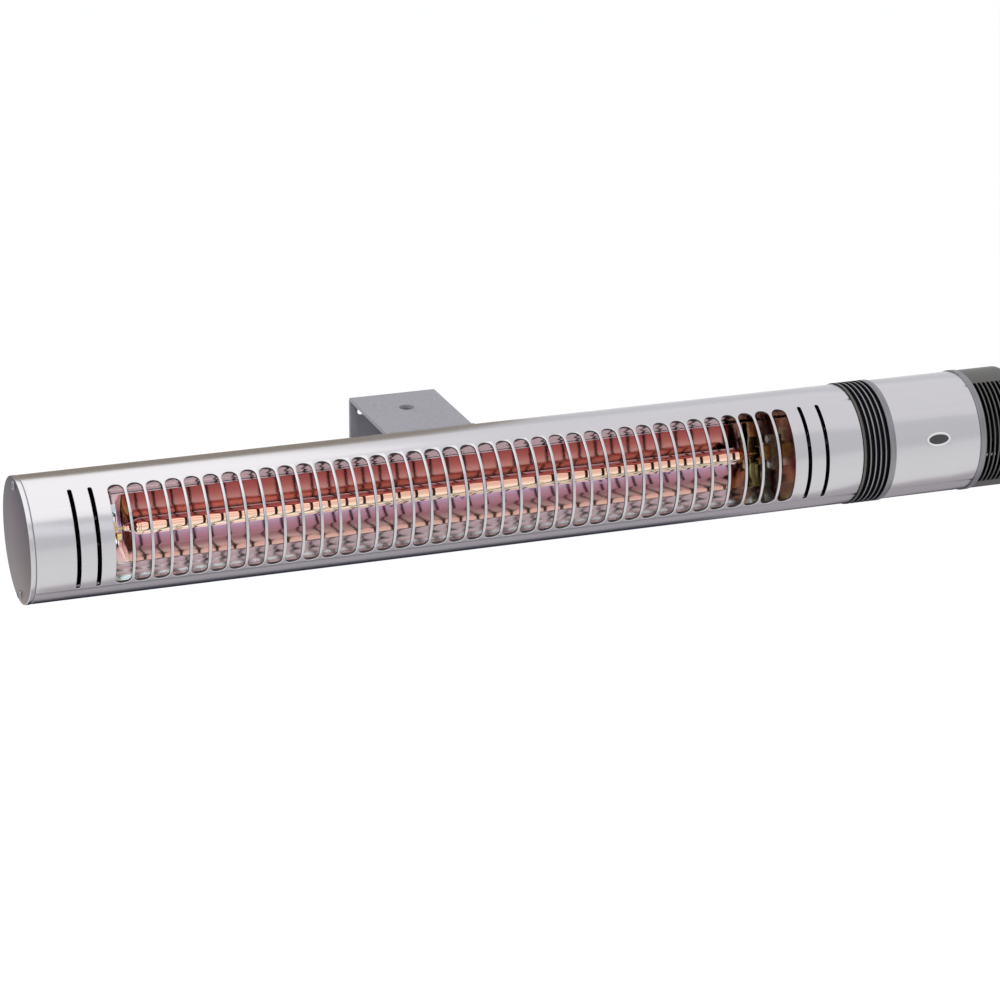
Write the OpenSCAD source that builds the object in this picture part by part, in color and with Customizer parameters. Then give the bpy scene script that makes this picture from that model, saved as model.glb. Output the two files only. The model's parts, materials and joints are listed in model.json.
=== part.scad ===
// Tubular wall heater with a ruby quartz lamp, tilting in a short channel bracket.
// X runs along the tube, the wall is the plane Y = 0 and the front faces -Y, Z is up.
// The origin is the middle of the bracket's back face.

/* [Heater tube] */
// Outer radius of the aluminium tube
tube_r = 45; // [42:0.5:52]
// Wall of the tube
tube_wall = 1.5; // [1.2:0.1:2.2]
// Length of the slotted tube between its gasket and the finned ring
tube_len = 619; // [600:1:700]
// Radius of the screw ports that run inside the tube, top and bottom
port_boss_r = 4.5; // [4:0.1:5]
// Angle that the tube is turned upwards at rest
rest_tilt = 4.5; // [0:0.5:10]

/* [Grille] */
// Distance from one slot to the next
slot_pitch = 13.44; // [11:0.01:20]
// Width of the bars between the slots
bar_w = 2; // [1.5:0.1:4]
// Plain length left at each end of the tube
end_zone = 55; // [52:0.5:75]
// Upper end of the slots, measured from straight ahead
slot_top_angle = 59; // [45:1:62]
// Lower end of the slots, measured from straight ahead
slot_bottom_angle = -40; // [-50:1:-30]
// Width of the thin slots at each end
vent_slot_w = 3; // [2:0.1:4]
// Distance from the tube's end to the outer thin slot
vent_slot_inset = 29.3; // [26:0.1:31]
// Distance between the two thin slots
vent_slot_pitch = 14.2; // [10:0.1:15]

/* [Finned ring] */
// How far the rings stand proud of the tube
ring_proud = 0.6; // [0.2:0.1:1.2]
// Width of the thin flange on the tube's side
thin_flange_w = 2; // [1.5:0.1:4]
// Width of each groove
groove_w = 3; // [2:0.1:4]
// Width of each fin
fin_w = 1.1; // [0.8:0.1:2]
// Number of grooves
groove_count = 5; // [3:1:7]
// Width of the wide flange on the housing's side
wide_flange_w = 5; // [4:0.1:8]
// Depth of the grooves
groove_depth = 3.6; // [2:0.1:3.8]

/* [Control housing] */
// Length of the plain housing
housing_len = 70; // [66:1:110]
// Width of the oval receiver bezel
eye_w = 19.5; // [14:0.5:24]
// Height of the oval receiver bezel
eye_h = 10.4; // [8:0.2:14]
// Angle of the receiver above straight ahead
eye_angle = 9.5; // [0:0.5:20]
// Width of the bright rim of the bezel
eye_rim = 1.8; // [1.2:0.1:2.5]

/* [End caps] */
// Thickness of the left cap's face
cap_face = 3; // [2.5:0.1:5]
// Bevel on the rim of the left cap
cap_bevel = 0.6; // [0.3:0.1:1.2]
// Thickness of the cap gasket
gasket_t = 1; // [0.6:0.1:2]
// Length of the spigots that reach into the tubes
spigot_len = 7; // [5:0.5:9]
// Width of the collar beside the vented cap
collar_w = 4.7; // [4:0.1:8]
// Length of the vented cap
vent_cap_len = 33.9; // [33:0.1:44]
// Wall of the vented cap
vent_cap_wall = 2.2; // [1.8:0.1:3]
// Thickness of the vented cap's end wall
vent_cap_end = 3; // [2.5:0.1:4]
// Distance between the vented cap's slots
cap_slot_pitch = 3.7; // [3.4:0.05:5]
// Width of the vented cap's slots
cap_slot_w = 2.6; // [2:0.1:2.8]
// Upper end of the vented cap's slots
cap_slot_top = 64; // [50:1:68]
// Lower end of the vented cap's slots
cap_slot_bottom = -48; // [-60:1:-40]

/* [Lamp] */
// Outer radius of the quartz tube
lamp_r = 6; // [5:0.25:7]
// Wall of the quartz tube
lamp_wall = 1; // [0.8:0.1:1.4]
// Distance between filament supports
support_pitch = 54; // [40:1:80]
// Length of the lamp's tapered ends
lamp_taper = 12; // [8:0.5:16]

/* [Reflector] */
// Focal length of the parabolic trough, with the lamp at its focus
focus = 11; // [9.5:0.25:13]
// Half width of the trough where its lips begin
trough_half = 24.4; // [22:0.2:26]
// Thickness of the polished sheet
sheet_t = 0.8; // [0.5:0.1:1.2]
// Distance from the reflector's end to the last slot
reflector_margin = 2.5; // [1:0.1:3]

/* [Bracket] */
// Distance from the tube's axis to the wall
axis_to_wall = 129; // [115:1:180]
// Width of the bracket along the tube
bracket_w = 66; // [60:1:100]
// Height of the bracket's channel
bracket_h = 67; // [58:1:72]
// Sheet thickness of the bracket
bracket_t = 3; // [2.5:0.1:4]
// Outer radius of the channel's bends
bend_r = 4; // [3.5:0.1:6]
// Radius of the round hole in the top flange
top_hole_r = 5.75; // [4:0.25:8]
// Distance from the wall to the round hole in the top flange
top_hole_y = 37.5; // [25:0.5:50]
// Radius of the wall screw holes
wall_hole_r = 3.25; // [2.5:0.05:4]
// Spacing of the wall screw holes along the tube
wall_hole_dx = 48; // [40:0.5:50]
// Spacing of the wall screw holes up the wall
wall_hole_dz = 44; // [36:0.5:46]

/* [Tilt clamp] */
// How far the front can be tilted up from rest
tilt_up = 20; // [5:1:25]
// How far the front can be tilted down from rest
tilt_down = 55; // [30:1:55]
// Radius of the clamp bolts
bolt_r = 3; // [2.5:0.1:3.5]
// Distance between the two clamp bolts
bolt_dx = 36; // [28:1:40]
// Thickness of the liner in the saddle
liner_t = 1.5; // [1:0.1:2.5]
// Thickness of the saddle
saddle_t = 3; // [2.5:0.1:4]
// Thickness of the shoe inside the tube
shoe_t = 5; // [4:0.1:5.5]
// Half of the shoe's arc
shoe_half = 12; // [9:1:14]

/* [Cable gland] */
// Radius of the hole that the seal leaves for a cable
cable_r = 4; // [3.5:0.1:4.5]
// Radius of the gland's thread
gland_r = 8; // [7.5:0.1:9]
// Width across flats of the gland's hexagons
gland_af = 22; // [20:0.5:24]
// Length of the gland's dome nut
dome_len = 12; // [10:0.5:15]

/* [Electronics] */
// Width of the tray that carries the electronics
tray_w = 56; // [50:1:58]
// Depth of the tray below the tube's axis
tray_drop = 14; // [12:0.5:16]
// Width of the control board
board_w = 50; // [44:1:52]
// Thickness of the control board
board_t = 1.6; // [1:0.1:2]
// Radius of the lead wires
wire_r = 1.4; // [1:0.1:1.8]

/* [Hidden] */

// Clearances shared by all pieces
cut = 1;
slide_gap = 0.15;
thread_gap = 0.05;
turn_gap = 0.3;
screw_gap = 0.25;
// Step that keeps round faces from only just touching where they join
hair = 0.02;

// Smoothness of round faces
fine = 96;
mid = 48;
small = 24;

// Places along the tube
tube_half = tube_len/2;
tube_in = tube_r - tube_wall;
spigot_r = tube_in - slide_gap;
cap_x = -tube_half - gasket_t;
cap_face_x = cap_x - cap_face;
ring_w = thin_flange_w + groove_count*groove_w + (groove_count - 1)*fin_w + wide_flange_w;
ring_end = tube_half + ring_w;
housing_end = ring_end + housing_len;
collar_end = housing_end + collar_w;
cap_end = collar_end + vent_cap_len;

// Screw ports and the screws that go into them
screw_r = 2;
head_r = 3.6;
head_h = 2.2;
port_inset = 4.1;
port_at = tube_in - port_inset;
port_bore_r = screw_r + thread_gap;
port_pass_r = screw_r + screw_gap;
screw_grip = 16;

// Grille
slot_w = slot_pitch - bar_w;
grille_len = tube_len - 2*end_zone;
slot_count = floor((grille_len + bar_w)/slot_pitch);
grille_mid = (slot_top_angle + slot_bottom_angle)/2;
first_slot = -(slot_count - 1)*slot_pitch/2;

// Rings
ring_r = tube_r + ring_proud;
ring_bore_r = port_at - port_pass_r - bar_w;
web_t = 3;
web_x = ring_end - web_t;
groove_r = ring_r - groove_depth;
grommet_y = 14;
grommet_z = 10;
grommet_r = 6;
grommet_lip = 1.2;

// Vented cap
joint_groove_w = 0.5;
joint_groove_d = 0.9;
cap_round = 1.5;
round_steps = 6;
cap_slot_first = 1.8;
cap_slot_room = vent_cap_len - vent_cap_end - cap_slot_first - cap_slot_w/2;
cap_slot_count = floor(cap_slot_room/cap_slot_pitch) + 1;

// Receiver window
eye_x = ring_end + housing_len/2;
eye_proud = 0.8;
eye_depth = 3;
lens_sink = 0.3;
lens_w = eye_w - 2*eye_rim;
lens_h = eye_h - 2*eye_rim;

// Reflector
trough_steps = 24;
lip_half = (slot_top_angle - slot_bottom_angle)/2 + 1;
lip_inset = 1.2;
lip_r = tube_in - lip_inset;
reflector_half = tube_half - end_zone + reflector_margin;
plate_t = 1.5;
lamp_hole_gap = 1.5;

// Lamp and its holders
holder_t = 4;
holder_w = 13;
holder_h = 26;
terminal_len = 9;
terminal_w = 9;
terminal_h = 10;
pin_r = 0.8;
lamp_tip_r = 2.2;
tip_gap = 6;
lamp_half = reflector_half - holder_t - terminal_len - tip_gap;
lamp_straight = lamp_half - lamp_taper;
pin_reach = tip_gap + terminal_len*2/3;
filament_r = 1.3;
filament_half = lamp_straight - lamp_taper/2;
support_r = lamp_r - lamp_wall - slide_gap;
support_wire = 0.4;
support_count = floor(2*filament_half/support_pitch) + 1;
clamp_screw_r = 1.6;
clamp_screw_h = 2.5;
rivet_r = 1.5;
rivet_head_r = 2.6;
rivet_head_h = 1.2;
rivet_dz = 19;

// Heat shield and cutout
shield_t = 0.8;
shield_x = tube_half - spigot_len - plate_t;
cutout_r = 7;
cutout_h = 5;
cutout_flange = 1.2;
cutout_flange_r = 9;
cutout_z = -16;
wire_hole_r = wire_r + slide_gap;
lead_x = ring_end + housing_len/3;
back_wire_r = focus + sheet_t + 3*wire_r;

// Bracket and clamp
liner_ri = tube_r + turn_gap;
saddle_ri = liner_ri + liner_t;
saddle_ro = saddle_ri + saddle_t;
saddle_reach = 2.5;
saddle_half = asin((bracket_h/2 + saddle_reach)/saddle_ro);
shoe_ro = tube_in - turn_gap;
shoe_ri = shoe_ro - shoe_t;
washer_t = 1.6;
washer_r = 5.5;
bolt_head_h = 4;
bolt_af = 10;
bolt_head_r = bolt_af/sqrt(3);
bolt_tip = 1.5;
bolt_room = 0.6;
rear_slot_r = bolt_r + bolt_room;
stop_room = 1;

// Gland
gland_flange = 5;
gland_hex_r = gland_af/sqrt(3);
locknut_t = 5;
bore_room = 1;
socket_wall = 1.2;
dome_step = 0.8;
gland_bore_r = cable_r + bore_room;
seal_r = gland_r - socket_wall;
dome_r = gland_af/2 - dome_step;
seal_len = dome_len*3/4;

// Electronics
tray_t = 1.5;
tray_x = ring_end;
tray_len = housing_len + collar_w + vent_cap_len/2;
tray_lip = 24;
tray_screw_r = 1.5;
tray_screw_dy = 40;
tray_screw_z = 4;
standoff_r = 2.5;
standoff_h = 5;
board_x = ring_end + 2*standoff_r + tray_t;
board_len = housing_len - 4*standoff_r;
board_z = -tray_drop + tray_t/2 + standoff_h;
board_top = board_z + board_t;
standoff_inset = 4;
relay_size = [18, 14, 15];
relay_at = [6, 5];
power_size = [26, 18, 19];
power_edge = 4;
power_y = 6;
eye_board_t = 1.2;
eye_board_w = 18;
eye_cell_r = 3;
block_size = [16, 30, 12];
block_gap = 6;
block_screw_r = 2.2;
block_ways = 3;

// Turns a shape that is made about Z so that it lies about X
module x_lathe() {
  rotate([0, 90, 0])
    rotate_extrude($fn = fine)
      children();
}

// Solid round bar about the tube axis from x0 to x1
module x_bar(r, x0, x1, fn = fine) {
  translate([x0, 0, 0])
    rotate([0, 90, 0])
      cylinder(r = r, h = x1 - x0, $fn = fn);
}

// Plain ring about the tube axis
module x_ring(ro, ri, x0, x1) {
  x_lathe()
    translate([ri, x0])
      square([ro - ri, x1 - x0]);
}

// Piece of a ring between two angles, counted from straight ahead and up over the top
module sector(low, high, ri, ro, x0, x1) {
  rotate([-(high + 90), 0, 0])
    rotate([0, 90, 0])
      rotate_extrude(angle = high - low, $fn = fine)
        translate([ri, x0])
          square([ro - ri, x1 - x0]);
}

// Places a child so that its Z axis points outwards at an angle round the tube
module outwards(angle, x = 0) {
  rotate([-angle, 0, 0])
    translate([x, 0, 0])
      rotate([90, 0, 0])
        children();
}

// Cutter for a round-ended slot that runs round the tube
module arc_slot(x, w, low, high, ri, ro) {
  end_angle = asin(w/2/ro);
  sector(low + end_angle, high - end_angle, ri, ro, x - w/2, x + w/2);
  for (a = [low + end_angle, high - end_angle])
    outwards(a, x)
      translate([0, 0, ri])
        rotate([0, 0, 90])
          cylinder(r = w/2 - hair, h = ro - ri, $fn = small);
}

// Bars at the two screw ports
module at_ports(r, x0, x1) {
  for (side = [-1, 1])
    translate([0, 0, side*port_at])
      x_bar(r, x0, x1, small);
}

// Oval outline of the receiver window
module oval(w, h) {
  polygon([for (i = [0 : mid - 1]) [w/2*cos(360*i/mid), h/2*sin(360*i/mid)]]);
}

// Straight wire that runs a little past its second point, so that the next one joins it
module wire(a, b, r) {
  run = b - a;
  long = norm(run);
  translate(a)
    rotate([0, acos(run[2]/long), atan2(run[1], run[0])])
      cylinder(r = r, h = long + r, $fn = small);
}

// Wire through a list of points, every second length a hair thinner so that the joints are clean
module wires(route) {
  for (i = [0 : len(route) - 2])
    wire(route[i], route[i + 1], wire_r - (i % 2)*hair);
}

// Places for the pieces of the bracket and for the pieces that tilt
module on_axis() {
  translate([0, -axis_to_wall, 0])
    children();
}

module in_heater() {
  on_axis()
    rotate([-rest_tilt, 0, 0])
      children();
}

// Direction of the grille's middle, for the reflector and the lamp
module facing_grille() {
  in_heater()
    rotate([-grille_mid, 0, 0])
      children();
}

module both_ends() {
  for (side = [0, 1])
    mirror([side, 0, 0])
      children();
}

// Wall bracket

module channel_outline() {
  reach = axis_to_wall;
  difference() {
    union() {
      translate([-reach, -bracket_h/2])
        square([reach - bend_r, bracket_h]);
      translate([-bend_r, -bracket_h/2 + bend_r])
        square([bend_r, bracket_h - 2*bend_r]);
      for (side = [-1, 1])
        translate([-bend_r, side*(bracket_h/2 - bend_r)])
          circle(r = bend_r, $fn = mid);
    }
    translate([-reach - cut, -bracket_h/2 + bracket_t])
      square([reach + cut - bend_r, bracket_h - 2*bracket_t]);
    translate([-bend_r, -bracket_h/2 + bend_r])
      square([bend_r - bracket_t, bracket_h - 2*bend_r]);
    for (side = [-1, 1])
      translate([-bend_r, side*(bracket_h/2 - bend_r)])
        circle(r = bend_r - bracket_t, $fn = mid);
  }
}

module wall_bracket() color("gray") difference() {
  translate([-bracket_w/2, 0, 0])
    rotate([90, 0, 90])
      linear_extrude(bracket_w)
        channel_outline();
  on_axis()
    x_bar(saddle_ro, -bracket_w, bracket_w);
  translate([0, -top_hole_y, bracket_h/2 - bracket_t - cut])
    cylinder(r = top_hole_r, h = bracket_t + 2*cut, $fn = mid);
  for (sx = [-1, 1], sz = [-1, 1])
    translate([sx*wall_hole_dx/2, cut, sz*wall_hole_dz/2])
      rotate([90, 0, 0])
        cylinder(r = wall_hole_r, h = bracket_t + 2*cut, $fn = mid);
}

// Curved plate that is welded into the channel's mouth
module bracket_saddle() color("gray") on_axis() difference() {
  sector(180 - saddle_half, 180 + saddle_half, saddle_ri, saddle_ro, -bracket_w/2, bracket_w/2);
  for (side = [-1, 1])
    outwards(180, side*bolt_dx/2)
      translate([0, 0, saddle_ri - cut])
        cylinder(r = bolt_r + screw_gap, h = saddle_t + 2*cut, $fn = mid);
}

module saddle_liner() color("dimgray") on_axis() difference() {
  sector(180 - saddle_half, 180 + saddle_half, liner_ri, saddle_ri, -bracket_w/2, bracket_w/2);
  for (side = [-1, 1])
    outwards(180, side*bolt_dx/2)
      translate([0, 0, liner_ri - cut])
        cylinder(r = bolt_r + screw_gap, h = liner_t + 2*cut, $fn = mid);
}

module clamp_shoe() color("silver") on_axis() difference() {
  sector(180 - shoe_half, 180 + shoe_half, shoe_ri, shoe_ro, -bracket_w/2 + bolt_r, bracket_w/2 - bolt_r);
  for (side = [-1, 1])
    outwards(180, side*bolt_dx/2)
      translate([0, 0, shoe_ri - cut])
        cylinder(r = bolt_r + thread_gap, h = shoe_t + 2*cut, $fn = mid);
}

module clamp_bolts() color("lightgray") on_axis()
  for (side = [-1, 1])
    outwards(180, side*bolt_dx/2) {
      translate([0, 0, shoe_ri - bolt_tip])
        cylinder(r = bolt_r, h = saddle_ro + washer_t - shoe_ri + bolt_tip, $fn = mid);
      translate([0, 0, saddle_ro + washer_t])
        cylinder(r = bolt_head_r, h = bolt_head_h, $fn = 6);
    }

module clamp_washers() color("darkgray") on_axis()
  for (side = [-1, 1])
    outwards(180, side*bolt_dx/2)
      translate([0, 0, saddle_ro])
        difference() {
          cylinder(r = washer_r, h = washer_t, $fn = mid);
          translate([0, 0, -cut])
            cylinder(r = bolt_r + slide_gap, h = washer_t + 2*cut, $fn = mid);
        }

// Heater tube with its grille

module grille_cuts() {
  for (i = [0 : slot_count - 1])
    arc_slot(first_slot + i*slot_pitch, slot_w, slot_bottom_angle, slot_top_angle,
             tube_in - cut, tube_r + cut);
  for (side = [-1, 1], i = [0, 1])
    arc_slot(side*(tube_half - vent_slot_inset - i*vent_slot_pitch), vent_slot_w,
             slot_bottom_angle, slot_top_angle, tube_in - cut, tube_r + cut);
}

module clamp_cuts() {
  rear = 180 - rest_tilt;
  reach = asin(rear_slot_r/tube_r) + stop_room;
  for (side = [-1, 1])
    arc_slot(side*bolt_dx/2, 2*rear_slot_r, rear - tilt_up - reach, rear + tilt_down + reach,
             tube_in - cut, tube_r + cut);
}

module heater_tube() color("gainsboro") in_heater() difference() {
  union() {
    difference() {
      x_ring(tube_r, tube_in, -tube_half, tube_half);
      grille_cuts();
    }
    at_ports(port_boss_r, -tube_half, tube_half);
  }
  at_ports(port_bore_r, -tube_half - cut, tube_half + cut);
  clamp_cuts();
}

// Left end

module left_end_cap() color("slategray") in_heater() difference() {
  x_lathe() {
    polygon([[0, cap_face_x], [tube_r - cap_bevel, cap_face_x], [tube_r, cap_face_x + cap_bevel],
             [tube_r, cap_x], [0, cap_x]]);
    translate([ring_bore_r, cap_x])
      square([spigot_r - ring_bore_r, gasket_t + spigot_len]);
  }
  at_ports(port_pass_r, cap_face_x - cut, cap_x + cut);
  at_ports(port_boss_r + slide_gap, cap_x, cap_x + gasket_t + spigot_len + cut);
}

module left_cap_gasket() color("black") in_heater() difference() {
  x_ring(tube_r - slide_gap, spigot_r + slide_gap/2, cap_x, cap_x + gasket_t);
  at_ports(port_boss_r, cap_x - cut, cap_x + gasket_t + cut);
}

// Screw with a low domed head, its shank pointing along +Z from the head's seat
module port_screw(long) {
  cylinder(r = screw_r, h = long, $fn = small);
  mirror([0, 0, 1])
    rotate_extrude($fn = mid)
      intersection() {
        translate([0, -head_r*head_r/head_h/2 + head_h/2])
          circle(r = head_r*head_r/head_h/2 + head_h/2, $fn = 2*fine);
        square([head_r, head_h]);
      }
}

module left_cap_screws() color("lightgray") in_heater()
  for (side = [-1, 1])
    translate([cap_face_x, 0, side*port_at])
      rotate([0, 90, 0])
        port_screw(cap_face + gasket_t + screw_grip);

// Finned ring between the tube and the housing

module fin_ring() color("darkslategray") in_heater() difference() {
  union() {
    x_bar(ring_r, tube_half, ring_end);
    x_bar(spigot_r, tube_half - spigot_len, ring_end + spigot_len);
  }
  for (i = [0 : groove_count - 1])
    x_ring(ring_r + cut, groove_r, tube_half + thin_flange_w + i*(groove_w + fin_w),
           tube_half + thin_flange_w + i*(groove_w + fin_w) + groove_w);
  x_bar(ring_bore_r, tube_half - spigot_len - cut, web_x);
  x_bar(ring_bore_r, ring_end, ring_end + spigot_len + cut);
  at_ports(port_boss_r + slide_gap, tube_half - spigot_len - cut, tube_half);
  at_ports(port_boss_r + slide_gap, ring_end, ring_end + spigot_len + cut);
  at_ports(port_pass_r, tube_half - cut, ring_end + cut);
  translate([0, grommet_y, grommet_z])
    x_bar(grommet_r, web_x - cut, ring_end + cut, mid);
  for (side = [-1, 1])
    translate([0, side*tray_screw_dy/2, tray_screw_z - tray_drop])
      x_bar(tray_screw_r + thread_gap, web_x - cut, ring_end + cut, small);
}

module wire_grommet() color("black") in_heater() translate([0, grommet_y, grommet_z]) difference() {
  union() {
    x_bar(grommet_r - slide_gap, web_x, ring_end, mid);
    x_bar(grommet_r + grommet_lip, web_x - grommet_lip, web_x, mid);
    x_bar(grommet_r + grommet_lip, ring_end, ring_end + grommet_lip, mid);
  }
  x_bar(grommet_r - 2*grommet_lip, web_x - web_t, ring_end + web_t, mid);
}

// Control housing and its receiver window

module control_housing() color("gainsboro") in_heater() difference() {
  x_ring(tube_r, tube_in, ring_end, housing_end);
  eye_column()
    oval(lens_w + 2*slide_gap, lens_h + 2*slide_gap);
}

// Column through the housing's wall at the receiver window
module eye_column() {
  outwards(eye_angle, eye_x)
    translate([0, 0, tube_in - eye_depth])
      linear_extrude(tube_wall + 2*eye_depth)
        children();
}

module receiver_bezel() color("white") in_heater() intersection() {
  eye_column()
    difference() {
      oval(eye_w, eye_h);
      oval(lens_w + 2*slide_gap, lens_h + 2*slide_gap);
    }
  x_ring(tube_r + eye_proud, tube_r, ring_end, housing_end);
}

module receiver_lens() color("black") in_heater() intersection() {
  eye_column()
    oval(lens_w, lens_h);
  x_ring(tube_r + lens_sink, tube_in - eye_proud, ring_end, housing_end);
}

// Collar and vented cap at the right end

module housing_collar() color("dimgray") in_heater() difference() {
  union() {
    x_bar(ring_r, housing_end, collar_end);
    x_bar(spigot_r, housing_end - spigot_len, housing_end);
    x_bar(tube_r - vent_cap_wall - slide_gap, collar_end, collar_end + cap_slot_first/2);
  }
  x_bar(ring_bore_r, housing_end - spigot_len - cut, collar_end + cap_slot_first);
  at_ports(port_pass_r, housing_end - spigot_len - cut, collar_end + cap_slot_first);
}

module vented_end_cap() color("darkslategray") in_heater() difference() {
  x_lathe()
    polygon(concat(
      [[0, cap_end], [0, cap_end - vent_cap_end],
       [tube_r - vent_cap_wall, cap_end - vent_cap_end], [tube_r - vent_cap_wall, collar_end],
       [tube_r - joint_groove_d, collar_end], [tube_r - joint_groove_d, collar_end + joint_groove_w],
       [tube_r, collar_end + joint_groove_w]],
      [for (i = [0 : round_steps]) [tube_r - cap_round + cap_round*cos(90*i/round_steps),
                                    cap_end - cap_round + cap_round*sin(90*i/round_steps)]]));
  for (i = [0 : cap_slot_count - 1])
    arc_slot(collar_end + cap_slot_first + i*cap_slot_pitch, cap_slot_w, cap_slot_bottom, cap_slot_top,
             tube_r - vent_cap_wall - cut, tube_r + cut);
  at_ports(port_pass_r, cap_end - vent_cap_end - cut, cap_end + cut);
  x_bar(gland_r + slide_gap, cap_end - vent_cap_end - cut, cap_end + cut, mid);
}

module tie_screws() color("lightgray") in_heater()
  for (side = [-1, 1])
    translate([cap_end, 0, side*port_at])
      rotate([0, -90, 0])
        port_screw(cap_end - tube_half + screw_grip);

// Reflector with its end plates

// Outline points hold the depth in front of the lamp and the height above it
function trough(h) = [h*h/(4*focus) - focus, h];
function trough_out(h) = [-1, h/(2*focus)]/norm([1, h/(2*focus)]);
lip_end = [lip_r*cos(lip_half), lip_r*sin(lip_half)];
lip_run = (lip_end - trough(trough_half))/norm(lip_end - trough(trough_half));
lip_out = [-lip_run[1], lip_run[0]];
kink_out = (lip_out + trough_out(trough_half))/(1 + lip_out*trough_out(trough_half));
trough_inner = [for (i = [-trough_steps : trough_steps]) trough(trough_half*i/trough_steps)];
trough_outer = [for (i = [1 - trough_steps : trough_steps - 1])
  trough(trough_half*i/trough_steps) + sheet_t*trough_out(trough_half*i/trough_steps)];
kink_outer = trough(trough_half) + sheet_t*kink_out;
lip_outer = lip_end + sheet_t*lip_out;

function flip(p) = [p[0], -p[1]];
function backwards(list) = [for (i = [len(list) - 1 : -1 : 0]) list[i]];
function to_yz(list) = [for (p = list) [-p[0], p[1]]];

module reflector() color("silver") facing_grille()
  translate([-reflector_half, 0, 0])
    rotate([90, 0, 90])
      linear_extrude(2*reflector_half)
        polygon(to_yz(concat([flip(lip_end)], trough_inner, [lip_end, lip_outer, kink_outer],
                             backwards(trough_outer), [flip(kink_outer), flip(lip_outer)])));

module reflector_end_plates() color("silver") both_ends() in_heater() difference() {
  x_bar(spigot_r, reflector_half, reflector_half + plate_t);
  at_ports(port_boss_r + slide_gap, reflector_half - cut, reflector_half + plate_t + cut);
  x_bar(pin_r + lamp_hole_gap, reflector_half - cut, reflector_half + plate_t + cut, small);
  rotate([-grille_mid, 0, 0]) {
    for (side = [-1, 1])
      translate([0, 0, side*rivet_dz/2])
        x_bar(rivet_r + thread_gap, reflector_half - cut, reflector_half + plate_t + cut, small);
    translate([0, back_wire_r, 0])
      x_bar(wire_hole_r, reflector_half - cut, reflector_half + plate_t + cut, small);
  }
}

// Lamp

module lamp_outline(r, straight, tip_r, taper) {
  polygon([[0, -straight - taper], [tip_r, -straight - taper], [r, -straight],
           [r, straight], [tip_r, straight + taper], [0, straight + taper]]);
}

module lamp_envelope() color("firebrick") facing_grille() x_lathe() difference() {
  lamp_outline(lamp_r, lamp_straight, lamp_tip_r, lamp_taper);
  lamp_outline(lamp_r - lamp_wall, lamp_straight, lamp_wall/2, lamp_taper/2);
}

module lamp_filament() color("orange") facing_grille() {
  x_bar(filament_r, -filament_half, filament_half, small);
}

module filament_supports() color("gold") facing_grille()
  for (i = [0 : support_count - 1])
    translate([(i - (support_count - 1)/2)*support_pitch, 0, 0])
      x_lathe()
        translate([filament_r, -support_wire])
          square([support_r - filament_r, 2*support_wire]);

module lamp_terminals() color("goldenrod") both_ends() facing_grille() {
  inner = reflector_half - holder_t - terminal_len;
  difference() {
    translate([inner, -terminal_w/2, -terminal_h/2])
      cube([terminal_len, terminal_w, terminal_h]);
    x_bar(pin_r + thread_gap, inner - cut, inner + pin_reach, small);
  }
  x_bar(pin_r, lamp_half, inner + terminal_len*2/3, small);
  translate([inner + terminal_len/2, 0, terminal_h/2])
    cylinder(r = clamp_screw_r, h = clamp_screw_h, $fn = small);
  outwards(0, inner + lamp_wall/2)
    translate([0, -terminal_h/2, terminal_w/2 - lamp_wall])
      rotate([0, -90, 0])
        hook();
}

// Small curled spring that catches the lamp's end
module hook() {
  difference() {
    cylinder(r = 3*lamp_wall, h = tip_gap/2, $fn = small);
    translate([0, 0, -cut])
      cylinder(r = 2*lamp_wall, h = tip_gap/2 + 2*cut, $fn = small);
    translate([0, 0, -cut])
      cube([4*lamp_wall, 4*lamp_wall, tip_gap/2 + 2*cut]);
  }
}

module lamp_holders() color("ivory") both_ends() facing_grille() difference() {
  translate([reflector_half - holder_t, -holder_w/2, -holder_h/2])
    cube([holder_t, holder_w, holder_h]);
  x_bar(pin_r + lamp_hole_gap, reflector_half - holder_t - cut, reflector_half + cut, small);
  for (side = [-1, 1])
    translate([0, 0, side*rivet_dz/2])
      x_bar(rivet_r + thread_gap, reflector_half - holder_t - cut, reflector_half + cut, small);
}

module holder_screws() color("lightgray") both_ends() facing_grille()
  for (side = [-1, 1])
    translate([0, 0, side*rivet_dz/2]) {
      x_bar(rivet_r, reflector_half - holder_t, reflector_half + plate_t + rivet_head_h, small);
      x_bar(rivet_head_r, reflector_half - holder_t - rivet_head_h, reflector_half - holder_t, small);
      x_bar(rivet_head_r, reflector_half + plate_t, reflector_half + plate_t + rivet_head_h, small);
    }

// Heat shield, cutout and leads

module heat_shield() color("silver") in_heater() difference() {
  x_bar(spigot_r, shield_x - shield_t, shield_x);
  at_ports(port_boss_r + slide_gap, shield_x - shield_t - cut, shield_x + cut);
  translate([0, grommet_y, grommet_z])
    x_bar(grommet_r, shield_x - shield_t - cut, shield_x + cut, mid);
}

module thermal_cutout() color("ivory") in_heater() translate([0, 0, cutout_z]) {
  x_bar(cutout_flange_r, shield_x, shield_x + cutout_flange, mid);
  x_bar(cutout_r, shield_x + cutout_flange, shield_x + cutout_flange + cutout_h, mid);
}

module left_lead_wire() color("white") in_heater() {
  back = [0, back_wire_r*cos(grille_mid), -back_wire_r*sin(grille_mid)];
  start = [-reflector_half - plate_t - holder_t, 0, 0];
  lead_y = grommet_y + wire_r + 2*slide_gap;
  wires([start, start + back, [shield_x - tip_gap - plate_t, back[1], back[2]],
         [shield_x - plate_t, lead_y, grommet_z], [lead_x, lead_y, grommet_z],
         [lead_x, lead_y, board_top + wire_r]]);
}

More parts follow.
